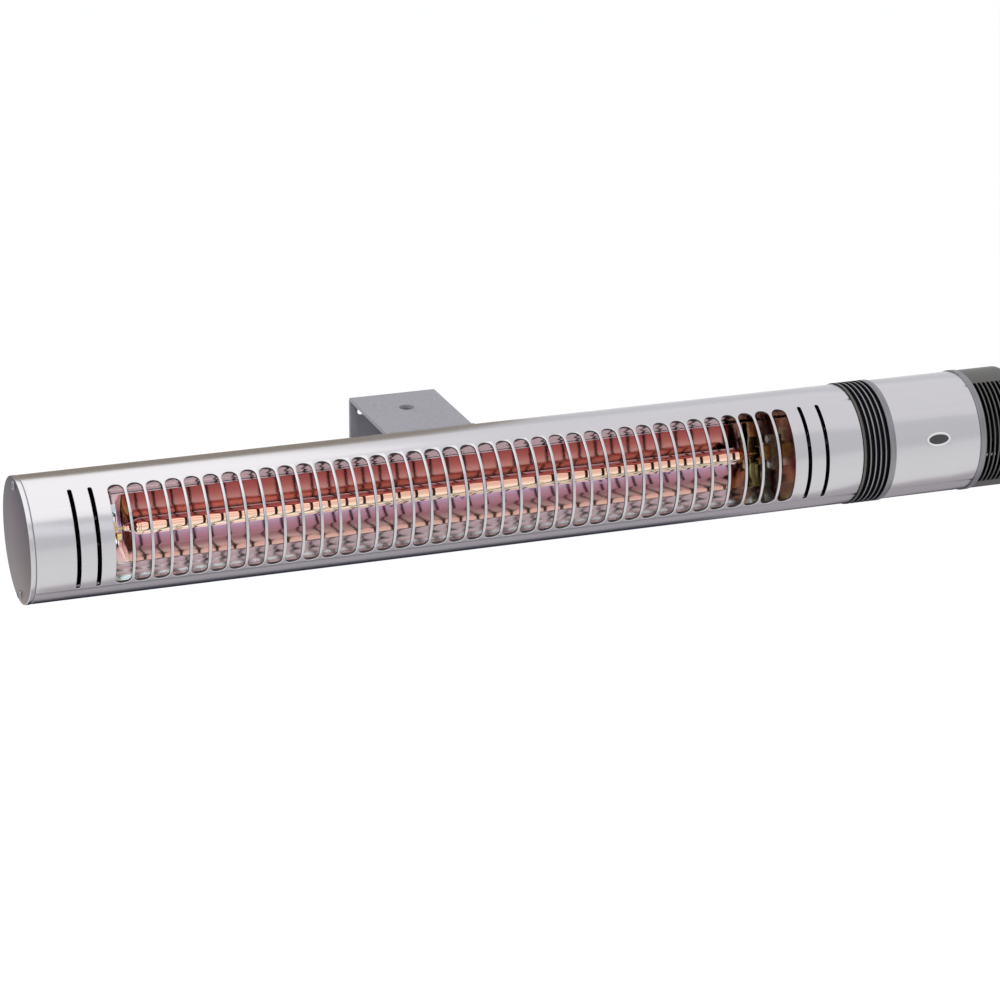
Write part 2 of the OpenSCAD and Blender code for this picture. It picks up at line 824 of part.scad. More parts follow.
module right_lead_wire() color("white") in_heater() {
  start = [reflector_half + plate_t + wire_r, 0, 0];
  lead_y = grommet_y - wire_r - 2*slide_gap;
  wires([start, [shield_x - plate_t, lead_y, grommet_z], [lead_x - 4*wire_r, lead_y, grommet_z],
         [lead_x - 4*wire_r, lead_y, board_top + wire_r]]);
}

// Electronics

module control_tray() color("silver") in_heater() difference() {
  union() {
    translate([tray_x, -tray_w/2, -tray_drop - tray_t/2])
      cube([tray_len, tray_w, tray_t]);
    translate([tray_x, -tray_w/2, -tray_drop - tray_t/2])
      cube([tray_t, tray_w, tray_screw_z + tray_lip/3]);
  }
  for (side = [-1, 1])
    translate([0, side*tray_screw_dy/2, tray_screw_z - tray_drop])
      x_bar(tray_screw_r + thread_gap, tray_x - cut, tray_x + tray_t + cut, small);
  for (x = [board_x + standoff_inset, board_x + board_len - standoff_inset], side = [-1, 1])
    translate([x, side*(board_w/2 - standoff_inset), -tray_drop - tray_t])
      cylinder(r = tray_screw_r, h = 2*tray_t, $fn = small);
}

module tray_screws() color("lightgray") in_heater()
  for (side = [-1, 1])
    translate([0, side*tray_screw_dy/2, tray_screw_z - tray_drop]) {
      x_bar(tray_screw_r, web_x, tray_x + tray_t + rivet_head_h/2, small);
      x_bar(rivet_head_r, tray_x + tray_t, tray_x + tray_t + rivet_head_h, small);
    }

module board_standoffs() color("goldenrod") in_heater()
  for (x = [board_x + standoff_inset, board_x + board_len - standoff_inset], side = [-1, 1])
    translate([x, side*(board_w/2 - standoff_inset), -tray_drop + tray_t/2])
      cylinder(r = standoff_r, h = standoff_h, $fn = 6);

module control_board() color("darkgreen") in_heater() difference() {
  translate([board_x, -board_w/2, board_z])
    cube([board_len, board_w, board_t]);
  for (x = [board_x + standoff_inset, board_x + board_len - standoff_inset], side = [-1, 1])
    translate([x, side*(board_w/2 - standoff_inset), board_z - cut])
      cylinder(r = tray_screw_r, h = board_t + 2*cut, $fn = small);
}

module switching_relay() color("steelblue") in_heater()
  translate([board_x + relay_at[0], -relay_size[1] + relay_at[1], board_top])
    cube(relay_size);

module power_module() color("black") in_heater()
  translate([board_x + board_len - power_size[0] - power_edge, power_y, board_top])
    cube(power_size);

module receiver_board() color("darkgreen") in_heater() {
  eye_z = tube_in*sin(eye_angle);
  eye_y = -board_w/2 + standoff_inset/2;
  translate([eye_x - eye_board_w/2, eye_y, board_top])
    cube([eye_board_w, eye_board_t, eye_z + eye_cell_r - board_top]);
  translate([eye_x, eye_y, eye_z])
    rotate([90, 0, 0])
      cylinder(r = eye_cell_r, h = tube_in*cos(eye_angle) - board_w/2 - eye_depth/2, $fn = small);
}

module terminal_block() color("white") in_heater() {
  x0 = board_x + board_len + block_gap;
  difference() {
    translate([x0, -block_size[1]/2, -tray_drop + tray_t/2])
      cube(block_size);
    for (i = [0 : block_ways - 1])
      translate([x0 + block_size[0]/2, (i - (block_ways - 1)/2)*block_size[1]/block_ways,
                 -tray_drop + tray_t/2 + block_size[2]*2/3])
        cylinder(r = block_screw_r, h = block_size[2], $fn = small);
  }
}

// Cable gland

module gland_body() color("black") in_heater() difference() {
  union() {
    x_bar(gland_r, cap_end - vent_cap_end - locknut_t - bore_room, cap_end, mid);
    x_bar(gland_hex_r, cap_end, cap_end + gland_flange, 6);
    x_bar(gland_r, cap_end + gland_flange, cap_end + gland_flange + dome_len/3, mid);
  }
  x_bar(gland_bore_r, cap_end - vent_cap_end - locknut_t - 2*cut, cap_end + gland_flange, mid);
  x_bar(seal_r + slide_gap, cap_end + gland_flange/2, cap_end + gland_flange + dome_len, mid);
}

module gland_locknut() color("black") in_heater() difference() {
  x_bar(gland_hex_r, cap_end - vent_cap_end - locknut_t, cap_end - vent_cap_end, 6);
  x_bar(gland_r + thread_gap, cap_end - vent_cap_end - locknut_t - cut, cap_end, mid);
}

module gland_seal() color("dimgray") in_heater()
  x_ring(seal_r, cable_r, cap_end + gland_flange/2, cap_end + gland_flange/2 + seal_len);

module gland_dome_nut() color("black") in_heater() difference() {
  union() {
    x_bar(gland_hex_r, cap_end + gland_flange, cap_end + gland_flange + dome_len/2, 6);
    x_lathe()
      intersection() {
        translate([0, cap_end + gland_flange])
          square([dome_r, dome_len]);
        translate([0, cap_end + gland_flange])
          circle(r = sqrt(dome_len*dome_len + gland_r*gland_r), $fn = 2*fine);
      }
  }
  x_bar(gland_r + thread_gap, cap_end + gland_flange - cut, cap_end + gland_flange + dome_len/2, mid);
  x_bar(seal_r + slide_gap, cap_end + gland_flange, cap_end + gland_flange + dome_len*4/5, mid);
  x_bar(gland_bore_r, cap_end + gland_flange, cap_end + gland_flange + 2*dome_len, mid);
}

wall_bracket();
bracket_saddle();
saddle_liner();
clamp_shoe();
clamp_bolts();
clamp_washers();
heater_tube();
left_end_cap();
left_cap_gasket();
left_cap_screws();
fin_ring();
control_housing();
housing_collar();
vented_end_cap();
tie_screws();
receiver_bezel();
receiver_lens();
reflector();
reflector_end_plates();
lamp_envelope();
lamp_filament();
filament_supports();
lamp_terminals();
lamp_holders();
holder_screws();
heat_shield();
thermal_cutout();
wire_grommet();
left_lead_wire();
right_lead_wire();
control_tray();
tray_screws();
control_board();
board_standoffs();
switching_relay();
power_module();
receiver_board();
terminal_block();
gland_body();
gland_locknut();
gland_seal();
gland_dome_nut();
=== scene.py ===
# %% [markdown]
# # A tubular bar heater in the studio
# The real heater is one long aluminium tube on a short wall bracket. Its front is cut into a row of
# round-ended slots, and a ruby lamp in a polished trough shows behind them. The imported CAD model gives
# every piece its place. This script dresses it: it models the visible pieces with soft edges and smooth
# curves, gives each one its finish, and sets up the camera and the lights of the photograph.

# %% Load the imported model
import json
import math

import bmesh
import bpy
from mathutils import Matrix, Vector


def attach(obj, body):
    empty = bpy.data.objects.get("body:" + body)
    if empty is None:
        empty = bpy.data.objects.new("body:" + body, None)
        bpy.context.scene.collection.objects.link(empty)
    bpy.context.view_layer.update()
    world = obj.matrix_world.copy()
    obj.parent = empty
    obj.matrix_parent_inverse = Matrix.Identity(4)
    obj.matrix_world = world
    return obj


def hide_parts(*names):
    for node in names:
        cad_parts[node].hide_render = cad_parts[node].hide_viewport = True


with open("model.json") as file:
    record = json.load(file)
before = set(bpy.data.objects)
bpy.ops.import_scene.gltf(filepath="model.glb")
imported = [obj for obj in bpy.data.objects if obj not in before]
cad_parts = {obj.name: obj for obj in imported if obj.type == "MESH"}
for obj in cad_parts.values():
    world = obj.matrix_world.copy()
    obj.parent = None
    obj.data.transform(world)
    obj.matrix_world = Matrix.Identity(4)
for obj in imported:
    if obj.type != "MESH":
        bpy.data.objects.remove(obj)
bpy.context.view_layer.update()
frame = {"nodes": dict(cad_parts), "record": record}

# %% [markdown]
# ## The camera
# The photograph was taken from in front, to the left and above, with a long lens. Its place and turn
# come from fitting the straight edges, the slots and the rings of the tube, so each piece lands where the
# photograph shows it. A camera looks down its own -Z axis, so it is first stood up about X, then
# turned about Z, and the small roll comes first of all, about its own axis.

# %% Camera
CAMERA_AT = Vector((-0.73306, -2.23389, 0.81043))
YAW, DOWN, ROLL = math.radians(20.176), math.radians(20.157), math.radians(0.392)
camera = bpy.data.objects.new("photo_camera", bpy.data.cameras.new("photo_camera"))
camera.data.lens = 118.8
camera.data.sensor_width = 36.0
camera.data.clip_start = 0.05
camera.data.clip_end = 60.0
camera.matrix_world = (
    Matrix.Translation(CAMERA_AT)
    @ Matrix.Rotation(-YAW, 4, "Z")
    @ Matrix.Rotation(math.pi / 2 - DOWN, 4, "X")
    @ Matrix.Rotation(ROLL, 4, "Z")
)
bpy.context.scene.collection.objects.link(camera)
bpy.context.scene.camera = camera
bpy.context.scene.view_settings.view_transform = "Standard"
print("camera", [round(v, 3) for v in camera.location], "lens", camera.data.lens)

# %% [markdown]
# ## Places and sizes
# Sizes are written in millimetres, as on a workshop drawing, and *MM* turns them to the frame's metres where
# a mesh is made. The tube lies along X and is turned up a little about its own axis, so its pieces are
# modelled straight about X and one matrix puts them into place. Angles round the tube count from
# straight ahead, up over the top.

# %% Shared sizes
MM = 0.001
TUBE_R, TUBE_WALL, TUBE_END = 45, 1.5, 309.5
RING_END, HOUSING_END, COLLAR_END, CAP_END = 335.9, 405.9, 410.6, 444.5
RING_R, BORE_R = 45.6, 32
AXIS_Y = -129
REST_TILT, GRILLE_MID = math.radians(4.5), math.radians(9.5)


def shift(x=0, y=0, z=0):
    return Matrix.Translation((x * MM, y * MM, z * MM))


STRAIGHT = shift()
AT_AXIS = shift(y=AXIS_Y)
IN_HEATER = AT_AXIS @ Matrix.Rotation(-REST_TILT, 4, "X")
FACING_GRILLE = IN_HEATER @ Matrix.Rotation(-GRILLE_MID, 4, "X")
print("ends of tube, ring, housing, collar and cap:", TUBE_END, RING_END, HOUSING_END, COLLAR_END, CAP_END)

# %% [markdown]
# ## Finishes
# Each finish is one Principled shader whose colour, roughness and small bumps come from noise in object
# coordinates, so the pattern has one real scale on every piece. Values that are the same all over a
# surface are set on the shader itself. *plain_finish* makes a material and gives its shader back, *feed*
# gives a node's inputs their values or links, and *add_node* adds a node to the same tree.

# %% A plain finish, a node and a noise
FINISHES = {}


def feed(node, **inputs):
    """inputs: a value or an output socket for each input, with _ for a space in its name."""
    for name, value in inputs.items():
        socket = node.inputs[name.replace("_", " ")]
        if isinstance(value, bpy.types.NodeSocket):
            node.id_data.links.new(value, socket)
        else:
            socket.default_value = value
    return node


def add_node(tree, kind, **inputs):
    return feed(tree.nodes.new("ShaderNode" + kind), **inputs)


def plain_finish(name, colour, roughness, metallic=0.0):
    material = bpy.data.materials.new(name)
    material.use_nodes = True
    FINISHES[name] = material
    shader = material.node_tree.nodes["Principled BSDF"]
    return feed(shader, Base_Color=(*colour, 1), Roughness=roughness, Metallic=metallic)


def noise_in_place(shader, scale, stretch=(1, 1, 1), detail=4.0):
    tree = shader.id_data
    place = add_node(tree, "TexCoord")
    mapping = add_node(tree, "Mapping", Vector=place.outputs["Object"], Scale=stretch)
    return add_node(tree, "TexNoise", Vector=mapping.outputs["Vector"], Scale=scale, Detail=detail)


print("ready: feed, add_node, plain_finish, noise_in_place")

# %% [markdown]
# Noise stays near its middle value, so a ramp or a range that spans only the middle of it uses its whole
# swing. A ramp turns it into colours, a range turns it into roughness, and a Bump node into relief
# that is finer than a mesh should be.

# %% Noise into colour, roughness and bumps
def add_ramp(share, colours, socket):
    """Turns an output into colours, given as (position on the ramp, colour)."""
    ramp = add_node(socket.id_data, "ValToRGB", Fac=share)
    while len(ramp.color_ramp.elements) < len(colours):
        ramp.color_ramp.elements.new(0.5)
    for stop, (position, colour) in zip(ramp.color_ramp.elements, colours):
        stop.position = position
        stop.color = (*colour, 1)
    socket.id_data.links.new(ramp.outputs["Color"], socket)


def vary_colour(shader, noise, dark, light):
    add_ramp(noise.outputs["Fac"], ((0.35, dark), (0.65, light)), shader.inputs["Base Color"])


def vary_roughness(shader, noise, low, high):
    span = {"From_Min": 0.3, "From_Max": 0.7, "To_Min": low, "To_Max": high}
    spread = add_node(shader.id_data, "MapRange", Value=noise.outputs["Fac"], **span)
    feed(shader, Roughness=spread.outputs["Result"])


def add_bumps(shader, noise, strength, height):
    bump = add_node(shader.id_data, "Bump", Height=noise.outputs["Fac"], Strength=strength, Distance=height)
    feed(shader, Normal=bump.outputs["Normal"])


print("ready: add_ramp, vary_colour, vary_roughness, add_bumps")

# %% [markdown]
# In the photograph the trough, the lamp and the left cap mirror a room with dark, silver and copper-red
# places. That room isn't rebuilt. These pieces get painted reflections and shading from ramps instead, either
# along one axis or round the tube's axis, so they keep their bands under any light.

# %% Colours along an axis or round it
def colour_along(socket, axis, low, high, colours):
    """Colours from low to high along one axis, in metres, given as (share of the way, colour)."""
    tree = socket.id_data
    place = add_node(tree, "TexCoord")
    parts = add_node(tree, "SeparateXYZ", Vector=place.outputs["Object"])
    share = add_node(tree, "MapRange", Value=parts.outputs[axis], From_Min=low, From_Max=high)
    add_ramp(share.outputs["Result"], colours, socket)


def colour_around(socket, colours):
    """Colours round the tube's axis, given as (share of a turn, colour): 0.5 is the front, 0.75 the top."""
    tree = socket.id_data
    across_tube = Matrix(((0, -1, 0), (0, 0, 1), (-1, 0, 0))).to_euler()
    to_axis = {"Rotation": across_tube, "Location": (AXIS_Y * MM, 0, 0)}
    place = add_node(tree, "TexCoord")
    mapping = add_node(tree, "Mapping", Vector=place.outputs["Object"], **to_axis)
    around = add_node(tree, "TexGradient", Vector=mapping.outputs["Vector"])
    around.gradient_type = "RADIAL"
    add_ramp(around.outputs["Fac"], colours, socket)


print("ready: colour_along, colour_around")

# %% [markdown]
# ### Satin aluminium
# The tube is an extrusion: it is drawn through a die, which leaves hair lines along its length, and it
# is then anodised, which makes it satin. Noise that is stretched a hundred times along X gives the
# lines, and a faint lilac cast in the colour is what the anodising adds. The tube's inside and its slots'
# walls get a near-black finish, which is painted shade.

# %% Satin aluminium
shader = plain_finish("satin_aluminium", (0.58, 0.57, 0.59), 0.22, 1.0)
hair_lines = noise_in_place(shader, 1400, (0.01, 1, 1), 5)
vary_colour(shader, hair_lines, (0.572, 0.562, 0.582), (0.588, 0.578, 0.598))
vary_roughness(shader, hair_lines, 0.21, 0.23)
add_bumps(shader, hair_lines, 0.02, 0.00001)

# Painted shade: a near-black finish for the tube's inside and its slots' walls.
shader = plain_finish("painted_shade_inside", (0.10, 0.09, 0.09), 0.55, 1.0)
vary_roughness(shader, noise_in_place(shader, 400, (0.05, 1, 1), 3), 0.5, 0.65)
print("made satin_aluminium and painted_shade_inside")

# %% [markdown]
# ### Painted and turned greys
# The left cap's face goes from a warm grey below to a darker, purple grey above, which is painted light and
# shade: lighter where light comes from beneath. A metal turns bright where it is seen at a low angle, and a
# darker Specular Tint holds that back. The ring's grooves are painted matt black as painted shade, its flange
# and the collar are turned on a lathe, whose marks run round the axis, the vented cap is coated a warmer
# grey, and the bracket is powder-coated, which gives it a fine orange peel.

# %% Greys of the caps, the rings and the bracket
shader = plain_finish("cap_grey", (0.10, 0.094, 0.095), 0.36, 1.0)
feed(shader, Specular_Tint=(0.76, 0.73, 0.77, 1))
# Painted light and shade: lighter warm grey at the bottom, darker purple grey at the top.
cap_painted_shading = ((0.0, (0.235, 0.205, 0.17)), (0.4, (0.14, 0.122, 0.12)), (1.0, (0.065, 0.057, 0.069)))
colour_along(shader.inputs["Base Color"], "Z", -40 * MM, 40 * MM, cap_painted_shading)
add_bumps(shader, noise_in_place(shader, 1400, detail=2), 0.12, 0.00006)

# Near-black with little shine: painted shade in the ring's grooves and inside the vented cap.
shader = plain_finish("ring_dark", (0.008, 0.008, 0.009), 0.5)
ring_coat = noise_in_place(shader, 1100, detail=2)
vary_colour(shader, ring_coat, (0.005, 0.005, 0.006), (0.012, 0.012, 0.014))
vary_roughness(shader, ring_coat, 0.45, 0.55)
feed(shader, Specular_IOR_Level=0.15)

shader = plain_finish("turned_grey", (0.26, 0.26, 0.275), 0.34, 1.0)
lathe_lines = noise_in_place(shader, 900, (1, 0.05, 0.05), 4)
vary_colour(shader, lathe_lines, (0.22, 0.22, 0.235), (0.31, 0.305, 0.325))
vary_roughness(shader, lathe_lines, 0.30, 0.42)

shader = plain_finish("vent_grey", (0.13, 0.128, 0.122), 0.38, 1.0)
vent_coat = noise_in_place(shader, 1200, detail=2)
vary_colour(shader, vent_coat, (0.11, 0.108, 0.10), (0.15, 0.148, 0.14))
add_bumps(shader, vent_coat, 0.1, 0.00005)

shader = plain_finish("bracket_grey", (0.30, 0.295, 0.33), 0.5)
powder_coat = noise_in_place(shader, 1000, detail=3)
vary_colour(shader, powder_coat, (0.26, 0.255, 0.29), (0.335, 0.33, 0.365))
add_bumps(shader, powder_coat, 0.25, 0.0001)
print("made cap_grey, ring_dark, turned_grey, vent_grey and bracket_grey")

# %% [markdown]
# ### Polished trough
# The trough is rolled from mirror-polished sheet. Rolling leaves it very slightly wavy, so its
# reflections break up, and long low bumps copy that. One ramp by height paints reflections on it,
# silver-green on the lower lip and the lamp's rose on the upper lip, and a second one makes the lower lip
# duller than the rest.

# %% Polished trough
TROUGH_LOW, TROUGH_HIGH = -32 * MM, 32 * MM
shader = plain_finish("polished", (0.92, 0.90, 0.92), 0.05, 1.0)
# Painted reflections by height: silver-green on the lower lip, the lamp's rose and red on the upper lip.
trough_painted_reflections = (
    (0.00, (0.74, 0.95, 0.91)), (0.13, (0.74, 0.95, 0.91)), (0.18, (0.93, 0.93, 0.94)),
    (0.60, (0.92, 0.86, 0.91)), (0.80, (0.86, 0.64, 0.66)), (1.00, (0.68, 0.34, 0.34)),
)
colour_along(shader.inputs["Base Color"], "Z", TROUGH_LOW, TROUGH_HIGH, trough_painted_reflections)
lip_dullness = ((0, 0.22), (0.08, 0.18), (0.15, 0.06), (1, 0.06))
trough_roughness = [(place, (value, value, value)) for place, value in lip_dullness]
colour_along(shader.inputs["Roughness"], "Z", TROUGH_LOW, TROUGH_HIGH, trough_roughness)
add_bumps(shader, noise_in_place(shader, 60, (0.6, 1, 1), 2), 0.10, 0.0006)
print("made polished with", len(trough_painted_reflections), "colours")

# %% [markdown]
# ### Ruby lamp
# The lamp's quartz has a thin ruby and gold coat that mirrors the room in copper red, so it is a tinted
# metal under a clear coat and not clear glass. Bands of colour round its axis are painted reflections and
# highlights: bright copper in front, dark over the top, and red, rose and lilac underneath.

# %% Ruby lamp
shader = plain_finish("ruby_quartz", (0.72, 0.30, 0.22), 0.03, 1.0)
# Painted reflections and highlights, in bands round the lamp's axis.
lamp_painted_reflections = (
    (0.00, (0.20, 0.05, 0.06)), (0.06, (0.34, 0.13, 0.24)), (0.13, (0.68, 0.56, 0.76)),
    (0.20, (0.56, 0.28, 0.36)), (0.28, (0.46, 0.13, 0.15)), (0.38, (0.86, 0.46, 0.36)),
    (0.50, (1.00, 0.70, 0.52)), (0.60, (0.92, 0.46, 0.32)), (0.66, (0.34, 0.07, 0.05)),
    (0.76, (0.24, 0.05, 0.04)), (0.86, (0.52, 0.16, 0.12)), (0.94, (0.80, 0.46, 0.34)),
    (1.00, (0.26, 0.06, 0.06)),
)
colour_around(shader.inputs["Base Color"], lamp_painted_reflections)
vary_roughness(shader, noise_in_place(shader, 90, (0.3, 1, 1), 3), 0.02, 0.05)
feed(shader, Coat_Weight=1.0, Coat_Roughness=0.02)
print("made ruby_quartz with", len(lamp_painted_reflections), "colours")

# %% [markdown]
# ### Small metal, ceramic, plastic and rubber finishes
# Screws, terminals, electronics and seals are plain, so one row of a table says all about each: colour,
# roughness, metal or not, the noise's scale and detail, and the range it spreads. A range of two numbers
# is roughness, and one of two colours is colour.

# %% Small finishes
small_finishes = {
    "zinc": ((0.55, 0.55, 0.56), 0.30, 1.0, 700, 3, (0.24, 0.42)),
    "gilt_brass": ((0.80, 0.60, 0.27), 0.22, 1.0, 500, 4, ((0.66, 0.46, 0.17), (0.88, 0.70, 0.36))),
    "filament_wire": ((0.30, 0.22, 0.16), 0.40, 1.0, 900, 4, (0.3, 0.5)),
    "ceramic_cream": ((0.80, 0.74, 0.62), 0.55, 0, 800, 4, ((0.74, 0.68, 0.55), (0.84, 0.79, 0.68))),
    "dark_brown_ceramic": ((0.14, 0.085, 0.05), 0.45, 0, 300, 4, ((0.07, 0.035, 0.02), (0.16, 0.10, 0.06))),
    "bezel_white": ((0.88, 0.88, 0.89), 0.22, 0, 900, 4, (0.18, 0.28)),
    "ir_window": ((0.012, 0.006, 0.01), 0.08, 0, 300, 4, ((0.008, 0.004, 0.008), (0.02, 0.009, 0.015))),
    "black_rubber": ((0.016, 0.016, 0.016), 0.62, 0, 800, 4, (0.55, 0.7)),
    "gasket_grey": ((0.30, 0.295, 0.31), 0.6, 0, 800, 4, ((0.27, 0.265, 0.28), (0.33, 0.325, 0.34))),
    "silicone_wire": ((0.78, 0.75, 0.68), 0.6, 0, 1500, 4, ((0.70, 0.67, 0.60), (0.82, 0.80, 0.74))),
    "board_green": ((0.02, 0.14, 0.06), 0.4, 0, 400, 4, ((0.015, 0.11, 0.045), (0.03, 0.18, 0.08))),
    "relay_blue": ((0.03, 0.12, 0.36), 0.3, 0, 900, 4, (0.25, 0.38)),
    "white_nylon": ((0.80, 0.80, 0.77), 0.45, 0, 700, 4, ((0.76, 0.76, 0.72), (0.84, 0.84, 0.82))),
    # Painted shade and a painted red reflection of the lamp, for the trough's end plates.
    "steel_with_painted_shade": ((0.16, 0.09, 0.05), 0.16, 1.0, 40, 3, ((0.17, 0.025, 0.022), (0.26, 0.14, 0.06))),
    "black_plastic": ((0.02, 0.02, 0.021), 0.45, 0, 1600, 2, ((0.014, 0.014, 0.015), (0.028, 0.028, 0.03))),
}
small_bumps = {"steel_with_painted_shade": (0.2, 0.0008), "black_plastic": (0.2, 0.00008)}
for name, (colour, roughness, metallic, scale, detail, spread) in small_finishes.items():
    shader = plain_finish(name, colour, roughness, metallic)
    noise = noise_in_place(shader, scale, detail=detail)
    vary = vary_colour if isinstance(spread[0], tuple) else vary_roughness
    vary(shader, noise, *spread)
    if name in small_bumps:
        add_bumps(shader, noise, *small_bumps[name])
feed(FINISHES["ir_window"].node_tree.nodes["Principled BSDF"], Coat_Weight=1.0)
FINISHES["filament"] = FINISHES["filament_wire"]
print("finishes:", len(FINISHES))

# %% [markdown]
# ## Finishes on the CAD pieces
# Every node of the imported model has a material slot in its record. Each gets the finish of that name, so
# that the pieces which stay as they are, such as the electronics in the housing, are finished too. Two of
# them get darker finishes: the ceramic lamp holders are dark brown, and the trough's end plates are dark
# red-brown steel, which is painted shade with a painted reflection of the lamp's red.

# %% Dress the CAD nodes
# The end plates' finish is painted shade and a painted reflection of the lamp's red.
DARKER_FINISHES = {"lamp_holders": "dark_brown_ceramic", "reflector_end_plates": "steel_with_painted_shade"}
for part in frame["record"]["subparts"]:
    node = frame["nodes"][part["node"]]
    node.data.materials.clear()
    node.data.materials.append(FINISHES[DARKER_FINISHES.get(part["node"], part["material_slot"])])

# %% [markdown]
# ## Helpers for shapes
# Most pieces of a tube heater are turned or bent, so a few helpers make them all. *turned* spins an outline
# about the tube's axis, as a lathe does. *soften* bevels the sharp edges, because a real edge is never
# perfectly sharp and its thin highlight is what makes it look real.

# %% Turned outlines and soft edges
def face_outwards(bm):
    bmesh.ops.recalc_face_normals(bm, faces=bm.faces)


def turned(outline, steps=128, closed=True):
    """Spins (x, radius) points in millimetres about the X axis."""
    bm = bmesh.new()
    points = [bm.verts.new((x * MM, 0, r * MM)) for x, r in outline]
    pairs = list(zip(points, points[1:]))
    if closed:
        pairs.append((points[-1], points[0]))
    spun = points + [bm.edges.new(pair) for pair in pairs]
    turn = 2 * math.pi
    bmesh.ops.spin(bm, geom=spun, cent=(0, 0, 0), axis=(1, 0, 0), angle=turn, steps=steps, use_merge=True)
    bmesh.ops.remove_doubles(bm, verts=bm.verts, dist=1e-6)
    face_outwards(bm)
    return bm


def band(low, high, inner, outer, steps=128):
    return turned([(low, inner), (high, inner), (high, outer), (low, outer)], steps)


def bevel_edges(bm, edges, width, segments=2):
    bmesh.ops.bevel(
        bm, geom=edges, offset=width * MM, segments=segments, profile=0.5,
        affect="EDGES", material=-1, clamp_overlap=True,
    )


def soften(bm, width, segments=2):
    inner = [e for e in bm.edges if len(e.link_faces) == 2]
    bevel_edges(bm, [e for e in inner if e.calc_face_angle() > math.radians(30)], width, segments)


print("ready: face_outwards, turned, band, bevel_edges, soften")

# %% [markdown]
# *finish_piece* gives a mesh its place, its smooth shading, its finish and the body that it rides on. Edges
# sharper than an angle stay sharp, so that flat faces stay flat. A piece with two finishes keeps the
# number that each face was given, and *node* names the CAD piece that it replaces. *settle* turns the
# result of modifiers into the mesh itself.

# %% From a mesh to a finished piece
def link_mesh(bm, name):
    mesh = bpy.data.meshes.new(name)
    bm.to_mesh(mesh)
    bm.free()
    obj = bpy.data.objects.new(name, mesh)
    bpy.context.scene.collection.objects.link(obj)
    return obj


def settle(obj):
    shown = obj.evaluated_get(bpy.context.evaluated_depsgraph_get())
    made = bpy.data.meshes.new_from_object(shown)
    obj.modifiers.clear()
    obj.data = made


def finish_piece(obj, slot, node=None, finishes=None, body="heater", place=IN_HEATER, sharp=35):
    obj.data.transform(place)
    which = [face.material_index for face in obj.data.polygons]
    obj.data.materials.clear()
    for finish in finishes or [slot]:
        obj.data.materials.append(FINISHES[finish])
    if finishes:
        obj.data.polygons.foreach_set("material_index", which)
    obj.data.shade_smooth()
    obj.data.set_sharp_from_angle(angle=math.radians(sharp))
    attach(obj, body)
    if node:
        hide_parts(node)
    print("piece", obj.name, "with", len(obj.data.polygons), "faces")


print("ready: link_mesh, settle, finish_piece")

# %% [markdown]
# Sheet metal is modelled as its outer skin alone. Modifiers then give it the sheet's thickness and soft
# rims, and cut holes where the faces are simple enough for a clean boolean cut.

# %% Walls, rims and cuts
def soften_rims(obj, width, segments=2, sharper_than=45):
    rims = obj.modifiers.new("rims", "BEVEL")
    rims.width = width * MM
    rims.segments = segments
    rims.limit_method = "ANGLE"
    rims.angle_limit = math.radians(sharper_than)


def sheet_piece(bm, name, thickness, even=False, **rims):
    """Gives a skin its wall on the inside, and then its rims where they are asked for."""
    obj = link_mesh(bm, name)
    wall = obj.modifiers.new("wall", "SOLIDIFY")
    wall.thickness = thickness * MM
    wall.offset = -1
    wall.use_even_offset = even
    if rims:
        soften_rims(obj, **rims)
    settle(obj)
    return obj


def cut_away(obj, cutters, crossed=False):
    """crossed: the parts of a cutter overlap each other."""
    for cutter in cutters:
        cut = obj.modifiers.new("cut", "BOOLEAN")
        cut.operation = "DIFFERENCE"
        cut.object = cutter
        cut.solver = "EXACT"
        cut.use_self = crossed
    settle(obj)
    for cutter in cutters:
        bpy.data.objects.remove(cutter)


print("ready: soften_rims, sheet_piece, cut_away")

# %% [markdown]
# Extruding is how a bent or curved piece grows: edges are pulled along, a flat section is swept round an
# axis, and a finished mesh is joined to another one when two things are one piece. *once_each* drops
# what a list names twice and keeps its order, so that every run builds the same mesh.

# %% Pulled edges, swept sections and joined meshes
def once_each(things):
    return list(dict.fromkeys(things))


def pull_edges(bm, edges, move=(0, 0, 0)):
    """Extrudes edges, moves what is new by metres, and gives back the new corners and edges."""
    out = bmesh.ops.extrude_edge_only(bm, edges=edges)["geom"]
    corners = [g for g in out if isinstance(g, bmesh.types.BMVert)]
    bmesh.ops.translate(bm, verts=corners, vec=move)
    return corners, [g for g in out if isinstance(g, bmesh.types.BMEdge)]


def sweep(bm, corners, start, angle, steps, centre=(0, 0, 0)):
    """Sweeps a face with these corners, in millimetres, round the X direction, from a start angle."""
    face = bm.faces.new([bm.verts.new([c * MM for c in corner]) for corner in corners])
    section = [face, *face.edges, *face.verts]
    centre = [c * MM for c in centre]
    bmesh.ops.rotate(bm, verts=face.verts[:], cent=centre, matrix=Matrix.Rotation(start, 3, "X"))
    bmesh.ops.spin(bm, geom=section, cent=centre, axis=(1, 0, 0), angle=angle, steps=steps)
    face_outwards(bm)


def join(bm, other):
    mesh = bpy.data.meshes.new("joined")
    other.to_mesh(mesh)
    other.free()
    bm.from_mesh(mesh)
    bpy.data.meshes.remove(mesh)


print("ready: once_each, pull_edges, sweep, join")

# %% [markdown]
# ## The grille tube
# The real tube is an extrusion with slots milled into its front. Milling could be copied with a boolean
# cut, but that leaves ragged triangles which spoil a smooth reflection. It is modelled like sheet metal
# instead: the front is laid out flat with every slot in its own cell, then rolled round the axis, and
# the back is spun from its top edge. Each cell starts as the slot's outline, made by spinning one point
# round each end, and the outline is extruded outwards to the cell's border.

